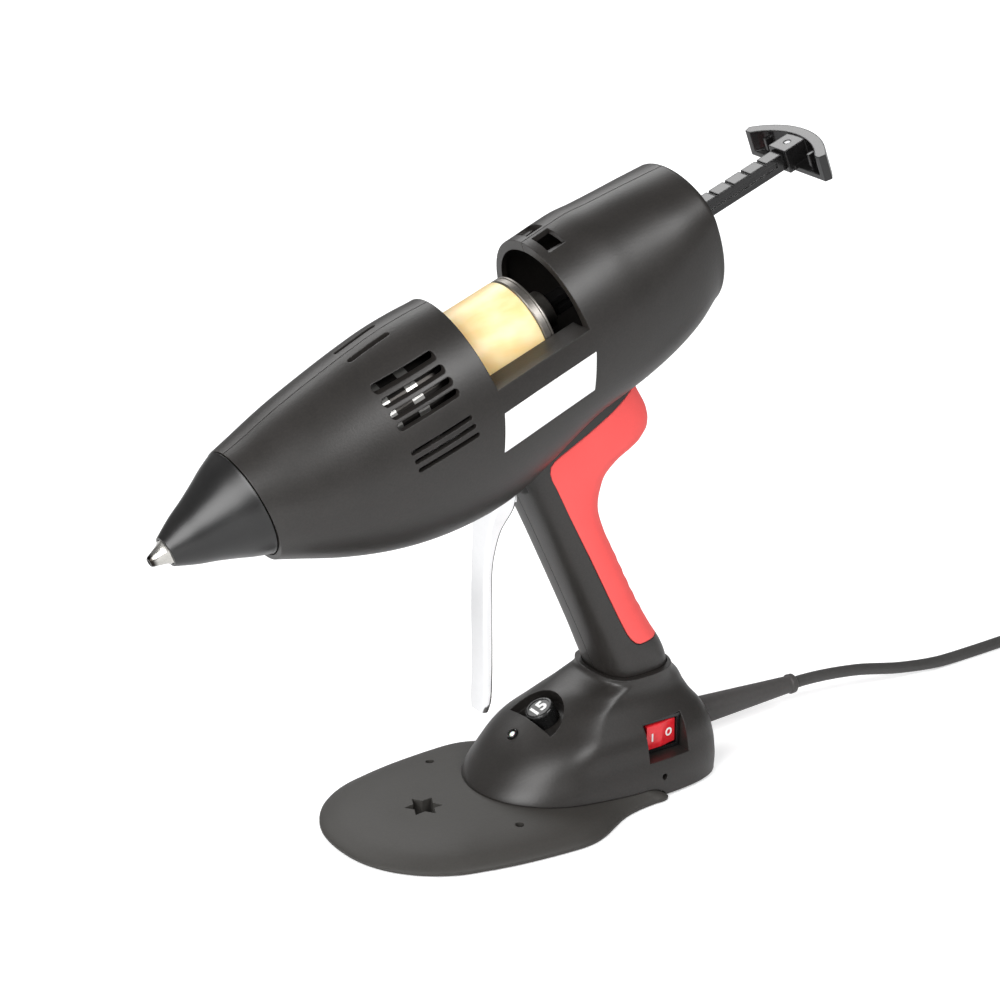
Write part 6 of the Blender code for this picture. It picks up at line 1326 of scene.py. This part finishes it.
# Lamp: a lens cast in clear epoxy, set in a glossy black moulded bezel that is pushed into the dome ahead of
# the dial.
bezel_profile = [(-0.0035, 0.0018), (-0.0035, 0.0025), (0.0004, 0.0025), (0.0007, 0.0024), (0.0009, 0.0021)]
bezel_profile += [(0.0008, 0.0019), (0.0003, 0.0018)]
bezel = turned("lamp_bezel_ring", bezel_profile, knob_gloss, lamp_axis, 48, loop=True)
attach(bezel, "gun_and_stand")
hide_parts("lamp_bezel")
lamp_clear, tree, shader, spot = new_material("clear_epoxy_lamp_lens")
surface = {
    "Base Color": mixed_tones(tree, noise(tree, spot, 900.0), linear("#dfe2d8"), linear("#f3f4ee")),
    "Roughness": 0.12,
    "Subsurface Weight": 0.3,
    "Subsurface Scale": 0.001,
}
feed(tree, shader, surface)
lens_profile = [(-0.007, 0.0), (-0.007, 0.0015), (-0.0002, 0.0015)] + [
    (-0.0002 + 0.0009 * math.sin(t), 0.0015 * math.cos(t)) for t in np.linspace(0.1, math.pi / 2, 8)
]
lamp = turned("lamp_lens_dome", lens_profile, lamp_clear, lamp_axis, 40)
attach(lamp, "gun_and_stand")
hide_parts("lamp")

# Mains switch: a glossy black case snapped into the dome's side, and a rocker moulded in translucent red
# with a white bar and ring.
switch_black = moulded_plastic(
    "glossy_black_switch_case", "#0e0e0f", "#141415", 0.25, 0.0010, 0.00001, 0.0003
)
dress(switch_black, "switch_body")
rocker_red, tree, shader, spot = new_material("translucent_red_polycarbonate")
surface = {
    "Base Color": mixed_tones(tree, noise(tree, spot, 350.0), linear("#c9141f"), linear("#e8303a")),
    "Roughness": 0.22,
    "Subsurface Weight": 0.25,
    "Subsurface Radius": (1.0, 0.2, 0.2),
    "Subsurface Scale": 0.002,
}
feed(tree, shader, surface)
SWITCH_FACE = -0.025619
ROCKER_TILT = math.radians(8)
ROCKER_MIDDLE = (0.106, SWITCH_FACE + 0.0018)
ROCKER_LEVEL = 0.0255
ROCKER_HALF = 0.0084
RIDGE = 0.00072


def rocker_front(along):
    """Front of the rocker: a flat face with a shallow ridge that peaks at its middle."""
    return -0.00204 - RIDGE * np.clip(1.0 - np.abs(along) / ROCKER_HALF, 0.0, 1.0) ** 1.6


span = np.linspace(-ROCKER_HALF, ROCKER_HALF, 33)
back = ((0.0077, 0.0018), (0.0025, 0.0036), (-0.0025, 0.0036), (-0.0077, 0.0018))
shape = np.concatenate((np.column_stack((span, rocker_front(span))), back))


def rocker_place(a, b, up):
    """Points of the rocker's frame, turned on its upright axis."""
    c = math.cos(ROCKER_TILT)
    s = math.sin(ROCKER_TILT)
    x = ROCKER_MIDDLE[0] + a * c - b * s
    return to_room(np.stack((x, ROCKER_MIDDLE[1] + a * s + b * c, ROCKER_LEVEL + up), axis=-1))


rings = []
for up, inset in (
    (-0.0058, 0.0005), (-0.0055, 0.0001), (-0.0050, 0.0), (0.0050, 0.0), (0.0055, 0.0001), (0.0058, 0.0005),
):
    along = shape[:, 0] * (1.0 - inset * 60)
    rings.append(rocker_place(along, shape[:, 1] + inset * np.sign(-shape[:, 1]), np.full(len(shape), up)))
rocker = skin("red_rocker", np.array(rings), rocker_red, sharp=30)
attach(rocker, "rocker")
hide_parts("rocker")


MARK_CLEAR = 0.00008


def mark_place(middle):
    """Places a mark on the rocker's front: its two values run along the rocker and up it."""
    return lambda a, b, up: rocker_place(middle + a, rocker_front(middle + a) - MARK_CLEAR - up, b)


MARK_SIZE = 0.0050
bar = written("rocker_on_bar", "I", MARK_SIZE, mark_place(-0.0052))
ring = written("rocker_off_ring", "O", MARK_SIZE, mark_place(0.0045))
for mark in (bar, ring):
    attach(mark, "rocker")
